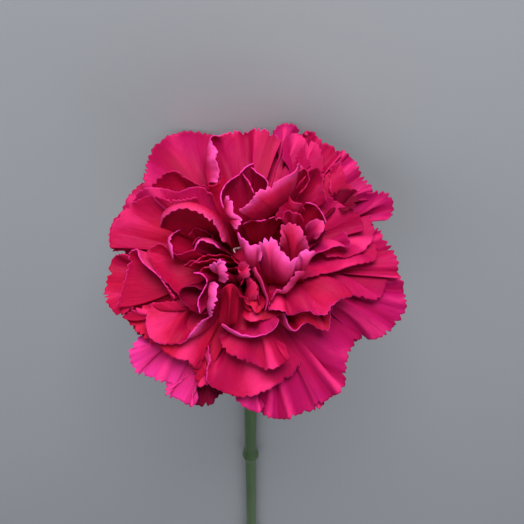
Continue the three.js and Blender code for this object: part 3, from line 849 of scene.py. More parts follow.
@dataclass
class Stem:
    """The stem, lying along the table from the calyx's foot, with its swollen joints and leaves."""

    seat: Seat
    radius: float = 2.3
    joint_radius: float = 3.4
    joint_spread: float = 3.6  # over which a joint swells
    groove: float = 0.22  # depth of the ring beside a joint's middle
    groove_width: float = 0.45
    groove_place: float = 1.0  # from the joint's middle, towards the bloom
    ridges: int = 9  # fine ones, round the stem
    ridge: float = 0.05  # height of a ridge
    end: tuple[float, float] = (2.2, 0.1)  # the cut end's place sideways, and its gap to the table
    end_round: float = 0.6  # length over which its ends are rounded
    cut: float = 0.25  # depth of the cut end's own colour
    seam: float = 0.1  # between its top and the calyx's foot
    gap: float = 0.35  # between a leaf and the joint
    leaf_stand: float = 0.45  # from that gap to the middle of a leaf's blade
    base_stand: float = 0.1  # from that gap to the middle of its clasping base
    base_angle: float = 0.85  # radians that the base reaches round the joint, to each side
    base_run: float = 12.0  # how far it would run along the stem over the leaf's whole length
    leaf_length: float = 46.0
    leaf_width: float = 6.4
    leaf_thickness: float = 0.7
    leaf_guide: tuple[Point, ...] = (  # out, along the table and up, in lengths of the leaf
        (0.0, 0.0, 0.0),
        (0.16, -0.14, 0.06),
        (0.34, -0.48, 0.2),
        (0.46, -0.78, 0.0),
    )
    leaf_tip: float = 0.6  # height of its tip above the table
    clasp: float = 0.22  # of the leaf's length, over which it leaves the joint

    def __post_init__(self) -> None:
        """Works out the stem's middle line, in millimetres over the table."""
        self.origin = np.array(self.seat.mouth) - (0.0, 0.0, MOUTH_HEIGHT * MM)
        slope = math.radians(CALYX_TILT)
        along = CALYX_LENGTH + self.seam
        top = (along * math.cos(slope), MOUTH_HEIGHT - along * math.sin(slope))
        bend = (top[1] - self.joint_radius) / (1.0 - math.cos(slope))
        neck = []
        for part in (0.0, 0.25, 0.5, 0.75, 1.0):
            angle = slope * (1.0 - part)
            y = top[0] + bend * (math.sin(slope) - math.sin(angle))
            neck.append((JOINTS[0][0] * part, y, self.joint_radius + bend * (1.0 - math.cos(angle))))
        rest = [(x, y, self.joint_radius) for x, y in JOINTS]
        end = (self.end[0], STEM_LENGTH, self.radius + self.end[1])
        self.line = Curve(np.array([*neck, *rest, end]))

    def place(self, points: np.ndarray) -> np.ndarray:
        """Takes points in millimetres over the table to the scene's metres."""
        return points * MM + self.origin

    def rod(self, across: np.ndarray, along: np.ndarray) -> np.ndarray:
        """The stem's skin, swollen at its joints and closed at both ends."""
        y = self.line.points(along)[:, 1]
        radius = self.radius + self.ridge * np.sin(self.ridges * math.pi * across)
        for _, middle in JOINTS:
            swell = np.exp(-(((y - middle) / self.joint_spread) ** 2))
            ring = np.exp(-(((y - middle + self.groove_place) / self.groove_width) ** 2))
            radius += (self.joint_radius - self.radius) * swell - self.groove * ring
        for depth in (along * self.line.length, (1.0 - along) * self.line.length):
            radius *= rounded(depth, self.end_round)
        return self.place(swept(self.line, radius, across, along))

    def leaf(self, side: float, across: np.ndarray, along: np.ndarray) -> np.ndarray:
        """A leaf that clasps the first joint.

        Args:
            side: 1 for the left one, -1 for the right one.
            across: over its width, from -1 to 1.
            along: from its base to its tip, from 0 to 1.

        Returns:
            The points.
        """
        free = eased(along / self.clasp)[:, None]
        blade = self.leaf_blade(side, across, along)
        return self.place(blade * free + self.leaf_base(side, across, along) * (1.0 - free))

    def leaf_base(self, side: float, across: np.ndarray, along: np.ndarray) -> np.ndarray:
        """A leaf's base, bent round the joint."""
        x, y = JOINTS[0]
        radius = self.joint_radius + self.gap + self.base_stand
        angle = -self.base_angle * side * across
        height = self.joint_radius + radius * np.sin(angle)
        return np.column_stack((x + side * radius * np.cos(angle), y - self.base_run * along, height))

    def leaf_blade(self, side: float, across: np.ndarray, along: np.ndarray) -> np.ndarray:
        """A leaf's channelled blade, which turns from on edge to flat at its tip."""
        x, y = JOINTS[0]
        start = (x + side * (self.joint_radius + self.gap + self.leaf_stand), y, self.joint_radius)
        a, b, c, d = start + np.array(self.leaf_guide) * (side, 1.0, 1.0) * self.leaf_length
        d[2] = self.leaf_tip
        t = along[:, None]
        s = 1.0 - t
        centre = s**3 * a + 3 * s**2 * t * b + 3 * s * t**2 * c + t**3 * d
        way = unit(s**2 * (b - a) + 2 * s * t * (c - b) + t**2 * (d - c))
        level = unit(np.cross(way, (0.0, 0.0, 1.0)))
        twist = (math.pi / 2 * side * (1.0 - eased(along / 0.6)))[:, None]
        sideways = level * np.cos(twist) + np.cross(way, level) * np.sin(twist)
        widening = 0.55 + 0.45 * np.clip(3.0 * along, 0.0, 1.0)
        half = (self.leaf_width / 2 * widening * (1.0 - 0.96 * along**3))[:, None]
        lift = half * (0.45 * np.abs(across) ** 1.5 * (1.0 - 0.8 * along))[:, None]
        keel = (0.25 * np.exp(-((across / 0.12) ** 2)) * (1.0 - along))[:, None]
        return centre + across[:, None] * half * sideways + (lift - keel) * np.cross(sideways, way)

    def build(self, skin: bpy.types.Material, pith: bpy.types.Material, leaf: bpy.types.Material) -> None:
        """Builds the stem, its cut end and the pair of leaves."""
        piece = Piece("stem_rod")
        piece.form(36, 420, self.rod, closed=True)
        made = piece.make(skin, pith)
        for face in made.data.polygons:
            if face.center.y > self.origin[1] + (STEM_LENGTH - self.cut) * MM:
                face.material_index = 1
        settle(made, "stem", "stem")
        for name, side in (("leaf_left", 1.0), ("leaf_right", -1.0)):
            piece = Piece(f"{name}_blade")
            piece.form(28, 70, lambda u, v, side=side: self.leaf(side, u, v), turned_over=True)
            made = piece.make(leaf)
            thicken(made, self.leaf_thickness)
            settle(made, "leaf", name)


@dataclass
class Styles:
    """The pair of pale styles in the heart."""

    seat: Seat
    radius: float = 0.34
    taper: float = 0.55
    round_tip: float = 0.05  # share of its length over which its tip is rounded
    closed_foot: float = 0.02  # and over which its foot closes
    foot: Point = (-1.6, 3.2, 9.0)
    arm: tuple[Point, ...] = (
        (0.0, 0.0, 1.2),
        (0.45, 0.1, 4.0),
        (0.9, 0.2, 7.0),
        (1.0, 0.5, 9.2),
        (0.7, 1.1, 10.4),
    )

    def skin(self, side: float, across: np.ndarray, along: np.ndarray) -> np.ndarray:
        """One tapering arm, closed at both ends."""
        line = Curve(np.array(self.arm) * (side, side, 1.0) + self.foot)
        radius = self.radius * (1.0 - self.taper * along)
        radius *= rounded(1.0 - along, self.round_tip) * np.clip(along / self.closed_foot, 0.0, 1.0)
        return self.seat.put(self.seat.head, swept(line, radius, across, along))

    def build(self, finish: bpy.types.Material) -> None:
        """Builds both arms, which part over a short stalk."""
        piece = Piece("style_arms")
        for side in (1.0, -1.0):
            piece.form(14, 48, lambda u, v, side=side: self.skin(side, u, v), closed=True)
        settle(piece.make(finish), "styles", "styles")


# ---- Where the petals are -----------------------------------------------------------------

GUARD = [
    # Round the outline, from the upper left.
    Petal(
        ((-27, 17, 6, 20), (-25.5, 25, 6, 35), (-22, 30.5, 4, 35), (-16, 33, 2, 30), (-8, 32, 2, 10)),
        1.5, 1.0, 0.7, lit=0.0,
    ),
    Petal(
        ((-7, 19.5, 11, 150), (-6.8, 24, 12, 155), (-7.5, 28, 11, 150), (-8.5, 30.8, 7, 100),
         (-6, 32.3, 4, 40),
         (-1.8, 33.3, 2, 10), (2.5, 34, 2, 0), (6, 32.8, 3, 0), (9, 31, 3, 0)),
        4.0, 1.3, 0.55, lit=1.0,
    ),
    Petal(
        ((5.5, 31, 2, 0), (6.8, 33.8, 3, 0), (8, 35.3, 3, 0), (10, 35.7, 3, 0), (12, 35.2, 3, 0),
         (13.2, 33.8, 2, 0), (14.5, 31, 3, 0)),
        1.6, 0.9, 1.15,
    ),
    Petal(
        ((12.5, 31, 3, 0), (14.5, 33.3, 3, 30), (18, 31.3, 4, 30), (21, 29.5, 4, 25), (24, 27, 4, 0)),
        2.0, 1.6, 0.55,
    ),
    Petal(
        ((22, 28, 2, 0), (24.8, 28, 3, 0), (27.5, 24.8, 3, -10), (29.5, 21.5, 3, 0), (31.5, 19, 3, 0),
         (31, 15.5, 3, 0)),
        3.0, 1.3, 0.8,
    ),
    Petal(
        ((30, 17.5, 4, 60), (34.5, 18, 3, 20), (36.8, 15.5, 2, 0), (36.8, 12.5, 2, 20), (35.3, 10, 4, 60)),
        1.0, 0.8, 0.9, spread=0.6,
    ),
    Petal(
        ((30.5, 8.5, 4, 0), (33.3, 8.5, 4, 20), (35, 5.8, 5, 20), (37, 2.8, 5, 10), (38.3, -0.8, 5, 0),
         (38.3, -4, 5, 0)),
        3.0, 1.2, 0.6,
    ),
    Petal(
        ((37.5, -2, 2, 0), (39.3, -5, 2, 0), (40, -9.5, 3, 0), (39.5, -13.5, 3, 0), (36.5, -17, 3, -10),
         (33, -18.8, 2, -15), (27, -20.3, 1, -20)),
        3.0, 1.6, 0.95,
    ),
    Petal(
        ((29, -19, 3, 0), (26, -22.5, 3, -10), (25, -28, 3, 0), (24.7, -31, 3, 10), (21.5, -34.3, 3, 0),
         (17, -36, 2, 0)),
        2.5, 1.5, 0.8,
    ),
    Petal(
        ((22, -33, 0, 0), (17.5, -37, 0, 0), (13.5, -38.3, 1, 0), (9, -39.8, 1, 0), (4.8, -38.8, 1, -10),
         (1, -36.3, 1, -10)),
        3.4, 1.7, 0.85,
    ),
    Petal(
        ((4.8, -36, 2, 0), (3.2, -38, 3, 0), (0.5, -37.3, 3, 0), (-1.5, -36, 3, 0), (-3.5, -34.3, 3, 0),
         (-5, -32.3, 3, 0)),
        2.0, 1.0, 1.2, lit=0.4,
    ),
    # This one is darkened with painted shade, as it lies in shadow.
    Petal(
        ((-4, -31.5, 0, 0), (-7, -34, 0, 0), (-9, -36, 1, 0), (-11.5, -36.5, 1, 0), (-14.5, -35, 1, 0)),
        1.5, 0.8, -0.45, lit=0.1,
    ),
    Petal(
        ((-11.8, -35, 3, 0), (-14, -36.5, 3, 0), (-17, -34.8, 3, 0), (-20.5, -33.3, 3, 0),
         (-20.5, -30, 3, 0)),
        3.0, 1.3, 1.35, lit=0.5,
    ),
    Petal(
        ((-18, -31.5, 3, -10), (-23, -29.6, 3, 0), (-28, -28, 3, 0), (-29.3, -25.5, 4, 0),
         (-29.7, -22, 4, 10),
         (-27, -18.5, 4, 10)),
        3.0, 1.4, 1.4, lit=0.5,
    ),
    Petal(((-24, -21, 6, 0), (-28, -17.5, 6, 10), (-31, -13.3, 5, 0), (-31, -10, 5, 0)), 1.0, 0.7, 0.15),
    Petal(
        ((-28, -12, 6, 0), (-33, -13.5, 5, 0), (-35, -10.8, 4, 10), (-36, -8.5, 4, 10),
         (-35.3, -4.5, 5, 15),
         (-33.8, 0.8, 6, 20), (-31, 3, 8, 30)),
        2.0, 1.2, 0.3,
    ),
    Petal(
        ((-28, 3, 5, 0), (-34.3, 3, 6, 20), (-34.8, 7.5, 6, 20), (-33, 11.5, 6, 20), (-29, 14, 6, 10)),
        2.0, 0.8, 0.35,
    ),
    Petal(
        ((-32, 8, 3, 0), (-31.5, 13, 3, 0), (-29.8, 16.8, 2, 0), (-27.5, 19.3, 2, 0), (-24, 22, 2, 0)),
        2.0, 1.0, 0.65,
    ),
]

BACKING = [
    # Under the petals of the outline, where these leave gaps.
    Petal(
        ((-12, 26, -1.5, -10), (-5, 30.5, -0.5, 0), (4, 31.5, -1, 0), (13, 30.5, -1, 0), (20, 27, 0, 0)),
        3.0, 1.0, 0.6,
    ),
    Petal(
        ((14, 29, -1, 0), (21, 25.5, -1, 0), (26, 21, -1, 0), (29.5, 15, -1, 0), (32, 9, 0, 0)),
        3.0, 1.0, 0.7,
    ),
    Petal(((29, 9, 0, 0), (33, 3, 0, 0), (35, -5, 0, 0), (35, -12, 0, 0), (30, -17, -1, 0)), 3.0, 1.0, 0.8),
    Petal(
        ((29, -15, -1, 0), (25, -21, -1, 0), (21, -29, -2, 0), (14, -34, -2, 0), (5, -35, -2, 0)),
        3.0, 1.2, 0.8,
    ),
    Petal(
        ((7, -34, -2, 0), (-2, -32, -2, 0), (-10, -32, -2, 0), (-17, -30, -2, 0), (-24, -24, -1, 0)),
        3.0, 1.0, 0.8,
    ),
    Petal(
        ((-22, -25, 0, 0), (-27, -19, 0, 0), (-31, -11, 0, 0), (-32, -3, 0, 0), (-31, 5, 0, 0)),
        3.0, 1.0, 0.4,
    ),
    Petal(
        ((-31, 1, 0, 0), (-30, 9, 0, 0), (-27, 16, 0, 0), (-22, 23, 0, 0), (-14, 27, 0, 0)),
        3.0, 1.0, 0.5,
    ),
]

SECOND = [
    # The dark arch at the upper left, the layer under it and the big smooth petal.
    Petal(
        ((-25.5, 18, 8, 30), (-22, 21.3, 10, 60), (-18, 23, 11, 75), (-14.5, 21, 11, 70),
         (-11, 19.3, 11, 60),
         (-7.5, 19.8, 11, 50), (-6.5, 22, 9, 50)),
        1.2, 0.4, 0.25,
    ),
    Petal(
        ((-29, 14.5, 8, 20), (-27.5, 17.3, 9, 20), (-25, 18.8, 10, 20), (-21, 18.6, 11, 20),
         (-17.3, 17.6, 12, 20), (-14.3, 18.8, 12.5, 30), (-11, 18.8, 12.5, 40), (-8.5, 17, 12, 60)),
        1.5, 0.5, 0.6, teeth=0.4, lit=0.3,
    ),
    Petal(
        ((-34.5, 3.5, 7, 10), (-34.5, 8.5, 7, 15), (-32.5, 11.8, 8, 20), (-29, 14.8, 9, 25),
         (-24.8, 16.6, 10, 35), (-19, 16, 12, 45), (-12.5, 16.5, 13, 50)),
        1.2, 0.7, 0.35,
    ),
    # The flat petal at the left, with its diagonal rim, and the one under it.
    Petal(
        ((-33, -11.3, 7, 0), (-31.5, -6, 8, 10), (-30, -1.5, 9, 30), (-29.5, 2.3, 10, 60),
         (-27.3, 3.5, 12, 80),
         (-26, 1, 13, 80), (-21.5, -3.8, 13.3, 70), (-17.8, -9, 12.5, 50)),
        1.2, 0.7, 0.3, lit=0.7,
    ),
    Petal(
        ((-32, -13.5, 6, -20), (-27, -11, 8, -10), (-22, -10, 10, 0), (-18, -9.5, 11, 10)),
        1.5, 0.8, 0.3,
    ),
    # The lower left petal with its turned-up edge, and two narrow ones below it.
    Petal(
        ((-9.5, -13.5, 14, 80), (-11.3, -14.3, 14, 120), (-13, -16, 13, 135), (-14.6, -18, 13, 120),
         (-16.3, -20.2, 11, 40), (-20, -20.8, 10, 0), (-24, -19.3, 9, 0), (-25.3, -14, 9, 0),
         (-24, -10, 9, 10)),
        1.0, 0.7, 0.3, teeth=0.4, lit=0.9,
    ),
    Petal(
        ((-10, -22, 8, 0), (-12.5, -27, 7, 0), (-15, -25, 8, 0), (-18.5, -24, 8, 0), (-22.5, -21, 8, 0)),
        1.2, 0.7, 0.25, teeth=0.5,
    ),
    Petal(
        ((-9.6, -27, 6, 0), (-9.9, -31, 5, -10), (-12.6, -31.2, 5, -10), (-13.6, -28, 6, 0),
         (-15.5, -24, 7, 0)),
        1.0, 0.3, 0.0,
    ),
    # Three shelves at the bottom, one above the other.
    Petal(
        ((14, -24.8, 5, 0), (11, -28.8, 5, 0), (7, -31.2, 6, 0), (2, -33.5, 6, 0), (-2.5, -34, 6, 0),
         (-7, -32.3, 7, 0), (-10, -30.5, 8, 20), (-10.3, -27, 9, 70), (-9, -24, 10, 130),
         (-9.6, -21, 10, 80)),
        2.0, 0.7, 0.42, teeth=0.8, lit=0.6,
    ),
    Petal(
        ((9.6, -20.5, 10, 60), (10.8, -25, 10, 0), (8, -26.2, 10, -10),
         (5, -27.3, 10, -10), (2, -26, 10, 0), (-2, -24.5, 11, 0), (-6, -22, 11, 10), (-7, -18, 11, 20)),
        2.8, 1.15, 0.45, teeth=0.6,
    ),
    Petal(
        ((8.3, -14.5, 15, 20), (7, -16.8, 15, 20), (4.5, -18.3, 15, 40), (2.3, -18.8, 15, 100),
         (-0.5, -18, 15, 125), (-3.5, -16.8, 15, 130), (-6.3, -15.5, 15, 120)),
        1.2, 0.4, 0.6, teeth=0.4, lit=1.0,
    ),
    # The dark petal under the lower right shelf, in its shade and darkened a little more with painted
    # shade, and that shelf.
    Petal(
        ((21.5, -11, 11, 20), (21, -14, 11, 20), (20.3, -17.5, 11, 10), (18, -17, 12, 0),
         (15, -15.3, 13, 0),
         (12, -17, 13.5, 100), (8.8, -12.8, 14.5, 100)),
        1.5, 0.6, -0.12, teeth=0.4, lit=0.8,
    ),
    Petal(
        ((27, -8.8, 12, 0), (23.3, -9.5, 14, 20), (21.3, -11.5, 15, 30), (20.3, -13.3, 15, 30),
         (17.8, -13.5, 16, 10), (14.5, -12.5, 17, 10), (11, -13.5, 16, 10), (8.8, -12.8, 17, 20),
         (5.6, -12.4, 16, 65)),
        1.8, 1.0, 0.45, teeth=0.5, lit=0.6,
    ),
    # The lip left of that shelf, and the tongue over it, both darkened a little with painted shade.
    Petal(
        ((9, -12.8, 14.5, 60), (6.5, -14, 14.5, 20), (3.5, -14.8, 14.5, 10), (0.5, -15, 14.5, 10),
         (-1.3, -13.6, 14, 60)),
        1.0, 0.4, -0.1, root=(1, -5, 4), teeth=0.4, lit=0.1,
    ),
    Petal(
        ((4.8, -9.5, 16, 60), (4.2, -11.5, 16, 20), (2.2, -12.9, 16, 0), (1.2, -11.6, 16, 0),
         (-0.2, -10.6, 16, 20), (-0.8, -8.8, 16, 60)),
        1.0, 0.4, -0.06, root=(1.6, -4, 8), teeth=0.4, lit=0.1,
    ),
    # The right side, where one toothed petal is painted dark as the shade in the hollow under the petal
    # above it.
    Petal(
        ((32.8, 5, 6, 0), (32.5, 0.8, 8, 10), (27, -1, 10, 20), (21, -2.8, 12, 30), (14, -4, 14, 30)),
        1.5, 0.8, 0.55, teeth=0.4,
    ),
    Petal(
        ((36, -2.5, 4, 0), (33, -9.5, 6, 0), (28, -9, 8, 0), (20, -5.5, 9, 10), (14, -5, 10, 20)),
        2.0, 0.9, 0.6, teeth=0.6,
    ),
    Petal(
        ((31, 12, 6, 20), (32, 7, 7, 10), (30, 3, 8, 20), (26, 1.5, 10, 30), (20, 1, 12, 40)),
        2.0, 0.8, 0.65, teeth=0.5,
    ),
    Petal(
        ((24.3, 7.8, 12, 30), (25.6, 6.3, 12, 20), (25.8, 4, 12, 30), (22.5, 3.4, 14, 50),
         (19, 2.6, 15, 60),
         (16.5, 1.8, 16, 60)),
        1.2, 0.7, 0.7, teeth=0.6, lit=0.3,
    ),
    Petal(
        ((20, 18, 10, 40), (20.6, 22, 10, 30), (21.8, 25, 10, 20), (23.5, 25.4, 9, 10),
         (24.6, 22.3, 10, 10),
         (26, 19.3, 10, 10), (28, 18, 9, 10)),
        2.0, 1.0, 0.45, teeth=0.8,
    ),
    Petal(
        ((8.5, 26, 8, 20), (9.3, 31, 6, 10), (11.5, 32.6, 5, 0), (14, 31.8, 5, 0), (15.6, 29, 6, 10),
         (15.8, 24, 9, 30)),
        1.5, 0.8, 0.75, lit=0.0,
    ),
    Petal(
        ((20.7, 16, 11, 40), (22.5, 18.4, 11, 30), (25, 18.8, 11, 20), (27.8, 18.3, 10, 20),
         (28.4, 15.8, 10, 20), (27.2, 13.4, 11, 30), (24, 12.6, 11, 40)),
        1.3, 0.6, -0.36, teeth=1.3, lit=0.1,
    ),
    Petal(
        ((12, 24, 9, 30), (13, 28.5, 8, 20), (15.5, 30.4, 7, 10), (18, 30, 7, 10), (19.3, 27, 8, 10),
         (19.6, 22, 10, 20), (19.5, 18, 11, 40)),
        2.0, 1.0, 0.65, lit=0.0,
    ),
    Petal(
        ((17, 15, 11, 40), (20, 16.5, 11, 40), (24, 14.5, 10, 30), (28, 12, 9, 20), (29.5, 8, 9, 20)),
        1.6, 0.9, 0.5, teeth=0.5, lit=0.0,
    ),
]

INNER = [
    # The upright petal at the upper right.
    Petal(
        ((11, 17, 16, 60), (13.5, 20.5, 17, 70), (15.5, 23, 17, 80), (17.5, 23.5, 16, 60),
         (19.3, 20, 14, 60),
         (20.3, 15, 13, 60)),
        1.4, 0.9, 0.35, teeth=0.5, lit=0.05,
    ),
    # The toothed arch over the left pocket.
    Petal(
        ((-21.5, 8.5, 16, 100), (-20, 11.3, 19, 150), (-17.5, 12.8, 21, 160), (-14.5, 12.8, 22, 165),
         (-11.5, 11.3, 22, 165), (-9, 9.3, 22, 150), (-7, 7.3, 21, 125), (-5.6, 5, 20, 95)),
        2.0, 0.5, 0.15, root=(-5, 3, 5), teeth=1.1, lit=0.5,
    ),
    # The crescent in that pocket.
    Petal(
        ((-18.2, 0.8, 15, 110), (-18.3, 3.2, 16, 145), (-18.6, 6, 15, 145), (-17.5, 7.8, 13, 90),
         (-14, 9.8, 12, 70), (-11, 10, 11, 70)),
        1.0, 0.3, 0.35, root=(-7, 2, 2), lit=0.9,
    ),
    # Two dark folds in the pocket's shade, the second darkened a little more with painted shade.
    Petal(
        ((-15, 6.5, 14, 80), (-13.5, 8.2, 14, 90), (-11.5, 8.4, 14, 90), (-9.8, 7.3, 14, 90),
         (-8.4, 5.2, 14, 80)),
        2.0, 0.6, 0.1, root=(-6, 2, 3), lit=0.1,
    ),
    Petal(
        ((-13.8, 4, 15, 80), (-12, 6.2, 15, 90), (-10, 6, 15, 90), (-8, 4.5, 15, 80)),
        1.5, 0.5, -0.1, root=(-5, 2, 3), lit=0.05,
    ),
    # The broad petal inside the diagonal rim.
    Petal(
        ((-16.6, -8.4, 11.5, 60), (-19.5, -5.6, 12, 60), (-23.9, -0.2, 12, 70), (-25.2, 2.8, 12.5, 60),
         (-22, 4.8, 13, 60), (-18, 2, 14, 60), (-13, 3, 16, 60)),
        1.2, 0.8, 0.3, root=(-5, 0, 5), teeth=0.4,
    ),
    # A petal with a thin rim, darkened with painted shade.
    Petal(
        ((-9.5, -13, 13, 60), (-13, -12.5, 14, 60), (-17, -9, 15, 70), (-16.5, -6.8, 16, 90),
         (-14, -6.2, 16, 90), (-11.5, -6.6, 16, 80)),
        1.5, 0.6, -0.3, root=(-4, -4, 5), teeth=0.5, lit=0.2,
    ),
    # The thin rim that winds like an S.
    Petal(
        ((-12, -13, 16, 80), (-12.3, -9.5, 17, 90), (-10.8, -7, 18, 90), (-10, -4.5, 18, 90),
         (-11.3, -3, 18, 90), (-13.5, -2.8, 18, 90)),
        0.8, 0.3, 0.5, root=(-4, -3, 5), lit=1.0,
    ),
    # The light band over the pocket's folds, its rim lit with painted highlight, and three dark folds below
    # it.
    Petal(
        ((-13.5, 2.8, 17, 90), (-12, 4.5, 18, 125), (-10, 5, 18, 130), (-8.3, 4.3, 18, 110),
         (-7, 3.3, 18, 90)),
        1.5, 0.4, 1.1, root=(-4, 1, 5), lit=1.0,
    ),
    Petal(
        ((-16, -1, 14, 70), (-12, 1.2, 15, 85), (-9, 1.6, 16, 90), (-6.5, 2, 16, 90)),
        2.2, 0.7, 0.0, root=(-3, 0, 5), lit=0.1,
    ),
    Petal(
        ((-14.5, -1.5, 16, 70), (-12.5, 0.2, 17, 90), (-10, 0.2, 18, 90), (-8, 0.8, 18, 90),
         (-5.8, 0.5, 18, 80)),
        2.2, 0.6, 0.05, root=(-3, -1, 6), lit=0.05,
    ),
    Petal(
        ((-12, -3, 17, 70), (-10.5, -1, 18, 90), (-8.3, -1.6, 18, 90), (-6.2, -1, 18, 80)),
        1.8, 0.6, 0.1, root=(-3, -2, 6), lit=0.1,
    ),
    # The curled rim under the cup.
    Petal(
        ((15, 0.5, 19, 90), (14.2, -1.3, 20, 120), (13.5, -2, 21, 150), (12.3, -2, 22, 163),
         (11, -3.3, 22, 165), (10, -5, 21, 162), (8.8, -6.5, 20, 150), (7.3, -7, 19, 125),
         (6.3, -8.8, 18, 100), (5.5, -10.5, 17, 90), (5.3, -12.5, 16, 80)),
        1.5, 0.5, 0.45, root=(4, -2, 5), lit=0.35,
    ),
]

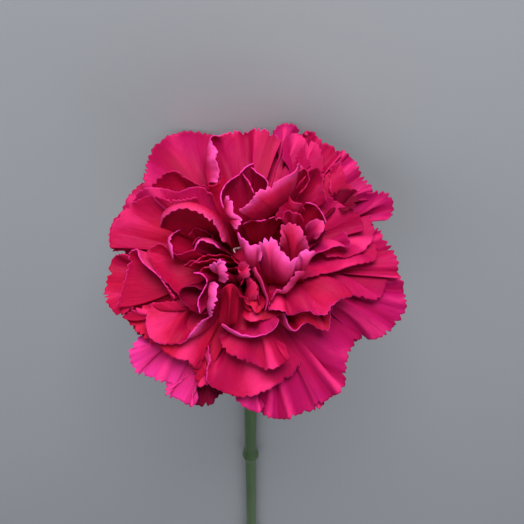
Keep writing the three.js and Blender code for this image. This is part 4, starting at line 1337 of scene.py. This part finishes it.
HEART = [
    # The dark cup's far wall, and the petals that stand round the upper pocket.
    Petal(
        ((-1, 9.3, 17, 85), (0.8, 10.3, 18, 85), (3.8, 10.8, 18, 85), (7, 11, 18, 85), (9, 10.8, 17, 85)),
        1.0, 0.4, 0.0, root=(3, 4, 7), lit=0.6,
    ),
    Petal(
        ((-4.5, 10.5, 19, 90), (-5, 12.5, 20, 95), (-6, 14.5, 21, 100), (-6.3, 16.5, 21, 105),
         (-5.8, 18.5, 21, 105), (-4.5, 20.3, 21, 100), (-2.8, 21.5, 20, 90), (-0.5, 23.8, 19, 80),
         (1.5, 25, 18, 70)),
        1.0, 0.4, 0.5, root=(-1, 7, 6), lit=0.9,
    ),
    Petal(
        ((1.8, 17, 17, 80), (0.3, 20, 18, 90), (-1, 23, 18, 90), (0, 24, 18, 90)),
        0.8, 0.3, 0.4, root=(1, 8, 6), lit=0.8,
    ),
    Petal(
        ((1, 24, 18, 90), (3, 22, 19, 90), (5, 20, 20, 90), (5.3, 17.5, 20, 90)),
        0.8, 0.3, 0.5, root=(3, 9, 6), lit=0.8,
    ),
    # The pale strip turned over beside them, pale partly as its own paler underside and partly with painted
    # highlight.
    Petal(
        ((-5.3, 16.8, 22, 20), (-4, 16.3, 23, 0), (-3.2, 14.3, 23, 0), (-3, 12.3, 23, 0),
         (-1, 10.8, 23, 0),
         (-1.5, 8.8, 23, 0), (-2.8, 7.8, 22, 10)),
        2.0, 0.4, 1.5, root=(-4.4, 10.9, 17), under_up=True, teeth=0.7, lit=1.0,
    ),
    # The toothed petal over the dark cup, and the one behind it.
    Petal(
        ((10, 17, 18, 60), (11.5, 22, 19, 80), (14.3, 23.5, 19, 90), (15.5, 21, 18, 90),
         (13.5, 17, 17, 80)),
        1.5, 0.6, 0.3, root=(9, 9, 7),
    ),
    Petal(
        ((-2.5, 12.8, 20, 10), (-1, 14, 21, 10), (0.8, 15.8, 22, 10), (2, 17.8, 23, 10),
         (5.3, 19.3, 23, 15),
         (7.8, 20.8, 23, 20), (10.3, 22.3, 22, 40), (13, 24.5, 20, 60), (14, 22.5, 18, 60)),
        2.0, 0.9, 0.25, root=(7.5, 11, 9), under_up=True, lit=0.8,
    ),
    # The curl at the right, a little darkened with painted shade, with its bright lobe, partly painted
    # highlight, and the folds between it and the toothed petal.
    Petal(
        ((14.6, 14.8, 17, 80), (16.5, 14.6, 18, 90), (18.1, 13.4, 19, 90), (19.1, 11.6, 19, 90),
         (19.6, 9.6, 19, 90)),
        0.8, 0.3, -0.12, root=(12, 7, 8), teeth=0.5, lit=0.8,
    ),
    Petal(
        ((14.3, 8.3, 18, 60), (15.4, 10, 19, 40), (17.4, 10.9, 19, 10), (19.1, 10.3, 19, 0),
         (19.7, 8.8, 19, 10), (18.8, 7, 19, 30), (17.3, 5.6, 18, 60)),
        1.0, 0.4, 0.85, root=(13.5, 3.5, 10), under_up=True, spread=0.5, teeth=0.5, lit=0.4,
    ),
    Petal(
        ((6.8, 11.3, 17, 40), (8.3, 14.3, 18, 40), (10, 17, 18, 40), (11.6, 15.4, 18, 40),
         (13.6, 15, 17, 50),
         (14.6, 13, 16, 60)),
        1.2, 0.5, 0.4, root=(10, 8, 8), teeth=0.4, lit=0.0,
    ),
    Petal(
        ((8.6, 10.2, 19, 60), (9.4, 12.4, 20, 60), (11.5, 13, 20, 60), (13.3, 12.2, 20, 60),
         (14.2, 10, 19, 60)),
        1.6, 0.5, 0.4, root=(11, 4, 8), teeth=0.6, lit=0.1,
    ),
    # A fold darkened with painted shade.
    Petal(
        ((20, 8, 14, 60), (18.5, 5.5, 15, 70), (16, 3.6, 16, 70), (14, 3, 16, 70)),
        1.0, 0.4, -0.4, root=(11, 4, 7), lit=0.1,
    ),
    # The square petal behind the cup.
    Petal(
        ((8.2, 4, 19, 60), (8, 7, 20, 40), (8.5, 9.3, 21, 20), (9.8, 9.8, 21, 10), (11.5, 10, 21, 10),
         (13.3, 9.2, 21, 10), (14.3, 7.8, 21, 10), (15, 5.5, 20, 30), (15.5, 3, 19, 50)),
        1.8, 0.6, 0.2, root=(11.5, -5, 8), under_up=True, spread=1.0, teeth=0.7, lit=0.4,
    ),
    # The pale strip, the thin band below it, and the cup in front of it with its last lobe.
    # The strip, the cup and the lobe are pale partly with painted highlight.
    Petal(
        ((-2.3, 7.5, 24, 75), (-1.5, 6.3, 24, 60), (-0.3, 5.8, 24, 40), (1, 4.5, 24, 20),
         (2.3, 4.8, 24, 20),
         (3.8, 3.5, 23, 40), (3.8, 0.5, 22, 60)),
        1.0, 0.3, 1.4, root=(2.6, -2.5, 12), under_up=True, spread=0.0, teeth=0.8, lit=1.0,
    ),
    Petal(
        ((4.6, -12.2, 17, 90), (5.3, -9.5, 18, 105), (4.6, -7, 19, 115), (3.7, -4.6, 20, 120),
         (2.4, -2.3, 20.3, 125), (1.7, 0.3, 19.3, 125), (1.8, 2, 17, 110)),
        0.8, 0.3, 0.4, root=(7, -6, 7), teeth=0.2, lit=0.35,
    ),
    Petal(
        ((1, 2, 21, 40), (1.8, 3.8, 22, 20), (2.8, 4.8, 23, 0), (4, 5.8, 24, -20), (5.8, 6.3, 24, -20),
         (7.5, 5.5, 24, -20), (8.5, 3.8, 24, -20), (9.5, 2.8, 24, -10), (10.5, 1.5, 24, 0),
         (12.5, 1, 23, 10)),
        1.3, 0.6, 1.3, root=(6.5, -5.2, 10), under_up=True, spread=0.8, lit=1.0,
    ),
    Petal(
        ((11, 0.5, 22, 20), (12.3, 1.3, 22, 20), (13, 2.6, 23, 0), (14.5, 3.3, 23, 0), (16, 3.3, 23, 0),
         (17.3, 2.6, 22, 10), (16.6, 1, 21, 30)),
        1.0, 0.4, 1.4, root=(11.5, -4.2, 12), under_up=True, spread=0.6, teeth=0.8, lit=1.0,
    ),
    # Two pale curls, partly lit with painted highlight, and the tight bud between them, darkened a little
    # with painted shade.
    Petal(
        ((-5.2, -5.4, 20, 150), (-4.5, -3.8, 22, 165), (-4.8, -2, 23, 170), (-4.9, -0.3, 23, 165),
         (-6, 0.8, 23, 160), (-7.8, 0.5, 22, 150), (-9.6, -1, 20, 120)),
        1.0, 0.3, 1.5, root=(-1.5, -4, 6), lit=1.0,
    ),
    Petal(
        ((-8.5, -13.8, 18, 120), (-7.7, -10.8, 22, 155), (-7.1, -9, 23, 165), (-7.3, -7.5, 23, 170),
         (-6.8, -6, 23, 165), (-7.8, -4.8, 22, 150), (-9.2, -5, 20, 120)),
        1.0, 0.3, 1.4, root=(-3.5, -8.5, 6), lit=1.0,
    ),
    Petal(
        ((-6.6, -8.8, 18, 80), (-6.1, -6.8, 20, 55), (-5.1, -5.7, 21, 10), (-3.8, -5.4, 21, 0),
         (-2.6, -6.3, 20, 45), (-1.9, -8.5, 18, 80)),
        0.4, 0.1, -0.1, root=(-4.2, -15, 12), spread=1.0, teeth=0.05, lit=0.1,
    ),
    # Two small blades right of the heart.
    Petal(
        ((-2.4, -0.6, 19, 40), (-1.3, 0.2, 19.5, 20), (0.7, -0.2, 20, 0), (1.1, -2, 20, 0),
         (0.7, -3.9, 19, 30)),
        1.0, 0.4, 0.45, root=(-1.8, -4.5, 10), under_up=True, spread=0.7, teeth=0.7, lit=0.2,
    ),
    Petal(
        ((-0.3, -4.4, 18, 40), (1, -4, 18.5, 20), (2.4, -5.2, 18.5, 0), (3, -7.5, 18, 0),
         (2.7, -9.3, 17, 30)),
        1.0, 0.4, 0.3, root=(0.3, -10, 10), under_up=True, spread=0.7, teeth=0.5, lit=0.1,
    ),
    # Small dark folds.
    Petal(
        ((-4.2, 1.6, 16, 80), (-3, 0.2, 17, 90), (-1.8, -0.6, 18, 90), (-0.8, -2, 18, 80)),
        1.2, 0.5, 0.1, root=(-1, -1, 6), lit=0.0,
    ),
    Petal(
        ((-2, -0.5, 18, 80), (0, -0.6, 19, 95), (1.3, -1.6, 19, 90), (2.2, -4, 18, 80)),
        1.5, 0.6, 0.45, root=(0, -3, 6), lit=0.1,
    ),
    Petal(
        ((-3.4, -1.5, 18, 80), (-2.2, -1.8, 19, 100), (-1.2, -3.5, 19, 100), (-1.4, -6, 18, 80)),
        1.5, 0.5, 0.3, root=(-1, -4, 6), lit=0.0,
    ),
    Petal(
        ((-0.8, -3.5, 18, 80), (0.6, -4.2, 19, 100), (1.4, -6.5, 18, 100), (1, -9, 17, 80)),
        1.5, 0.5, 0.35, root=(0, -6, 6), lit=0.05,
    ),
    Petal(
        ((1.2, -5, 17, 80), (2.4, -6, 18, 100), (3, -8.5, 18, 90), (2.8, -11, 16, 80)),
        1.5, 0.5, 0.2, root=(1, -6, 6), lit=0.0,
    ),
    Petal(
        ((-1.5, -8.5, 17, 60), (0, -8.8, 17, 60), (1.2, -10.8, 16, 40), (1.5, -12.5, 15, 30)),
        1.2, 0.5, 0.15, root=(-1, -6, 6), lit=0.0,
    ),
]


INNER_FACE = PetalFinish(
    Face.INNER,
    red=(0.55, 0.005, 0.038),
    magenta=(0.46, 0.006, 0.118),
    crest_highlight=(0.97, 0.036, 0.22),
    blush_and_highlight=(1.0, 0.05, 0.42),
    vein_depth=0.17,
    rim_highlight_start=0.975,
)
OUTER_FACE = PetalFinish(
    Face.OUTER,
    red=(0.58, 0.008, 0.055),
    magenta=(0.52, 0.01, 0.11),
    crest_highlight=(0.97, 0.055, 0.24),
    blush_and_highlight=(1.0, 0.1, 0.46),
    vein_depth=0.16,
    rim_highlight_start=0.7,
)
CALYX_SKIN = GreenFinish("calyx_skin", (0.13, 0.25, 0.07), (0.07, 0.16, 0.04), 60.0, 0.5)
SCALE_SKIN = GreenFinish("scale_skin", (0.16, 0.27, 0.09), (0.09, 0.18, 0.05), 24.0, 0.8)
STEM_SKIN = GreenFinish("stem_skin", (0.075, 0.17, 0.04), (0.035, 0.1, 0.02), 30.0)
LEAF_SKIN = GreenFinish("leaf_skin", (0.14, 0.25, 0.13), (0.08, 0.17, 0.08), 34.0, 0.2)
PITH = PlainFinish("pith", (0.5, 0.56, 0.32), (0.36, 0.45, 0.2), 900.0, 0.7)
STYLE_SKIN = PlainFinish("style_skin", (0.5, 0.36, 0.4), (0.45, 0.26, 0.33), 700.0, 0.45)
TABLE = PlainFinish("table", (0.485, 0.51, 0.54), (0.465, 0.49, 0.52), 3.0, 0.9)


@dataclass
class Studio:
    """A pale table, soft lights and the camera."""

    seat: Seat
    lens: float = 52.2
    table_size: float = 3.0
    key_drop: float = 29.0  # degrees that the key light lies below the way the bloom faces
    key_side: float = 0.05  # how far it lies to the right, as a share of its distance
    room_colour: Colour = (0.86, 0.9, 1.0)
    room_strength: float = 0.2

    def build(self) -> None:
        """Builds the studio."""
        self.add_camera()
        self.add_table()
        self.add_room()
        seat = self.seat
        low = math.radians(self.key_drop)
        front = seat.facing * math.cos(low) + seat.up * math.sin(low) + seat.right * self.key_side
        self.add_light("key", front, 0.6, (0.36, 0.26), 4.6)
        self.add_light("fill", Vector((0.5, -0.2, 1.0)), 0.8, (0.8, 0.8), 1.3)
        self.add_light("back", Vector((-0.6, 0.8, 0.9)), 0.8, (0.6, 0.6), 0.8)
        bpy.context.scene.view_settings.view_transform = "Standard"

    def add_room(self) -> None:
        """The even, pale light of the room."""
        world = bpy.data.worlds.new("room")
        world.use_nodes = True
        glow = world.node_tree.nodes["Background"]
        glow.inputs["Color"].default_value = (*self.room_colour, 1.0)
        glow.inputs["Strength"].default_value = self.room_strength
        bpy.context.scene.world = world

    def add_camera(self) -> None:
        """The photograph's view: straight at the open face, with the stem running down the picture."""
        seat = self.seat
        data = bpy.data.cameras.new("camera")
        data.lens = self.lens
        data.clip_start = 0.01
        camera = bpy.data.objects.new("camera", data)
        place = seat.mouth + seat.right * SIGHT_LINE * MM + seat.facing * SIGHT * MM
        axes = Matrix((seat.right, seat.up, seat.facing)).transposed()
        camera.matrix_world = Matrix.Translation(place) @ axes.to_4x4()
        bpy.context.scene.collection.objects.link(camera)
        bpy.context.scene.camera = camera

    def add_table(self) -> None:
        """The plain pale floor."""
        mesh = bmesh.new()
        bmesh.ops.create_grid(mesh, x_segments=1, y_segments=1, size=self.table_size)
        data = bpy.data.meshes.new("table")
        mesh.to_mesh(data)
        mesh.free()
        table = bpy.data.objects.new("table", data)
        data.materials.append(TABLE.material())
        bpy.context.scene.collection.objects.link(table)

    def add_light(
        self, name: str, way: Vector, distance: float, size: tuple[float, float], power: float
    ) -> None:
        """One soft light.

        Args:
            name: its name.
            way: the way to it from the bloom.
            distance: from the bloom, in metres.
            size: its width and height, in metres.
            power: in watts.
        """
        data = bpy.data.lights.new(name, "AREA")
        data.shape = "RECTANGLE"
        data.size, data.size_y = size
        data.energy = power
        light = bpy.data.objects.new(name, data)
        way = way.normalized()
        turn = way.to_track_quat("Z", "Y").to_matrix().to_4x4()
        light.matrix_world = Matrix.Translation(self.seat.mouth + way * distance) @ turn
        bpy.context.scene.collection.objects.link(light)


def main() -> None:
    """Builds the carnation and its studio."""
    seat = Seat()
    inner_face, outer_face = INNER_FACE.material(), OUTER_FACE.material()
    whorls = {
        "backing_petals": BACKING,
        "guard_petals": GUARD,
        "second_petals": SECOND,
        "inner_petals": INNER,
        "heart_petals": HEART,
    }
    Bloom(seat).build(whorls, [inner_face, outer_face])
    calyx = Calyx(seat)
    calyx.build_claws(outer_face)
    calyx.build(CALYX_SKIN.material(), SCALE_SKIN.material())
    Stem(seat).build(STEM_SKIN.material(), PITH.material(), LEAF_SKIN.material())
    Styles(seat).build(STYLE_SKIN.material())
    Studio(seat).build()


if __name__ == "__main__":
    main()
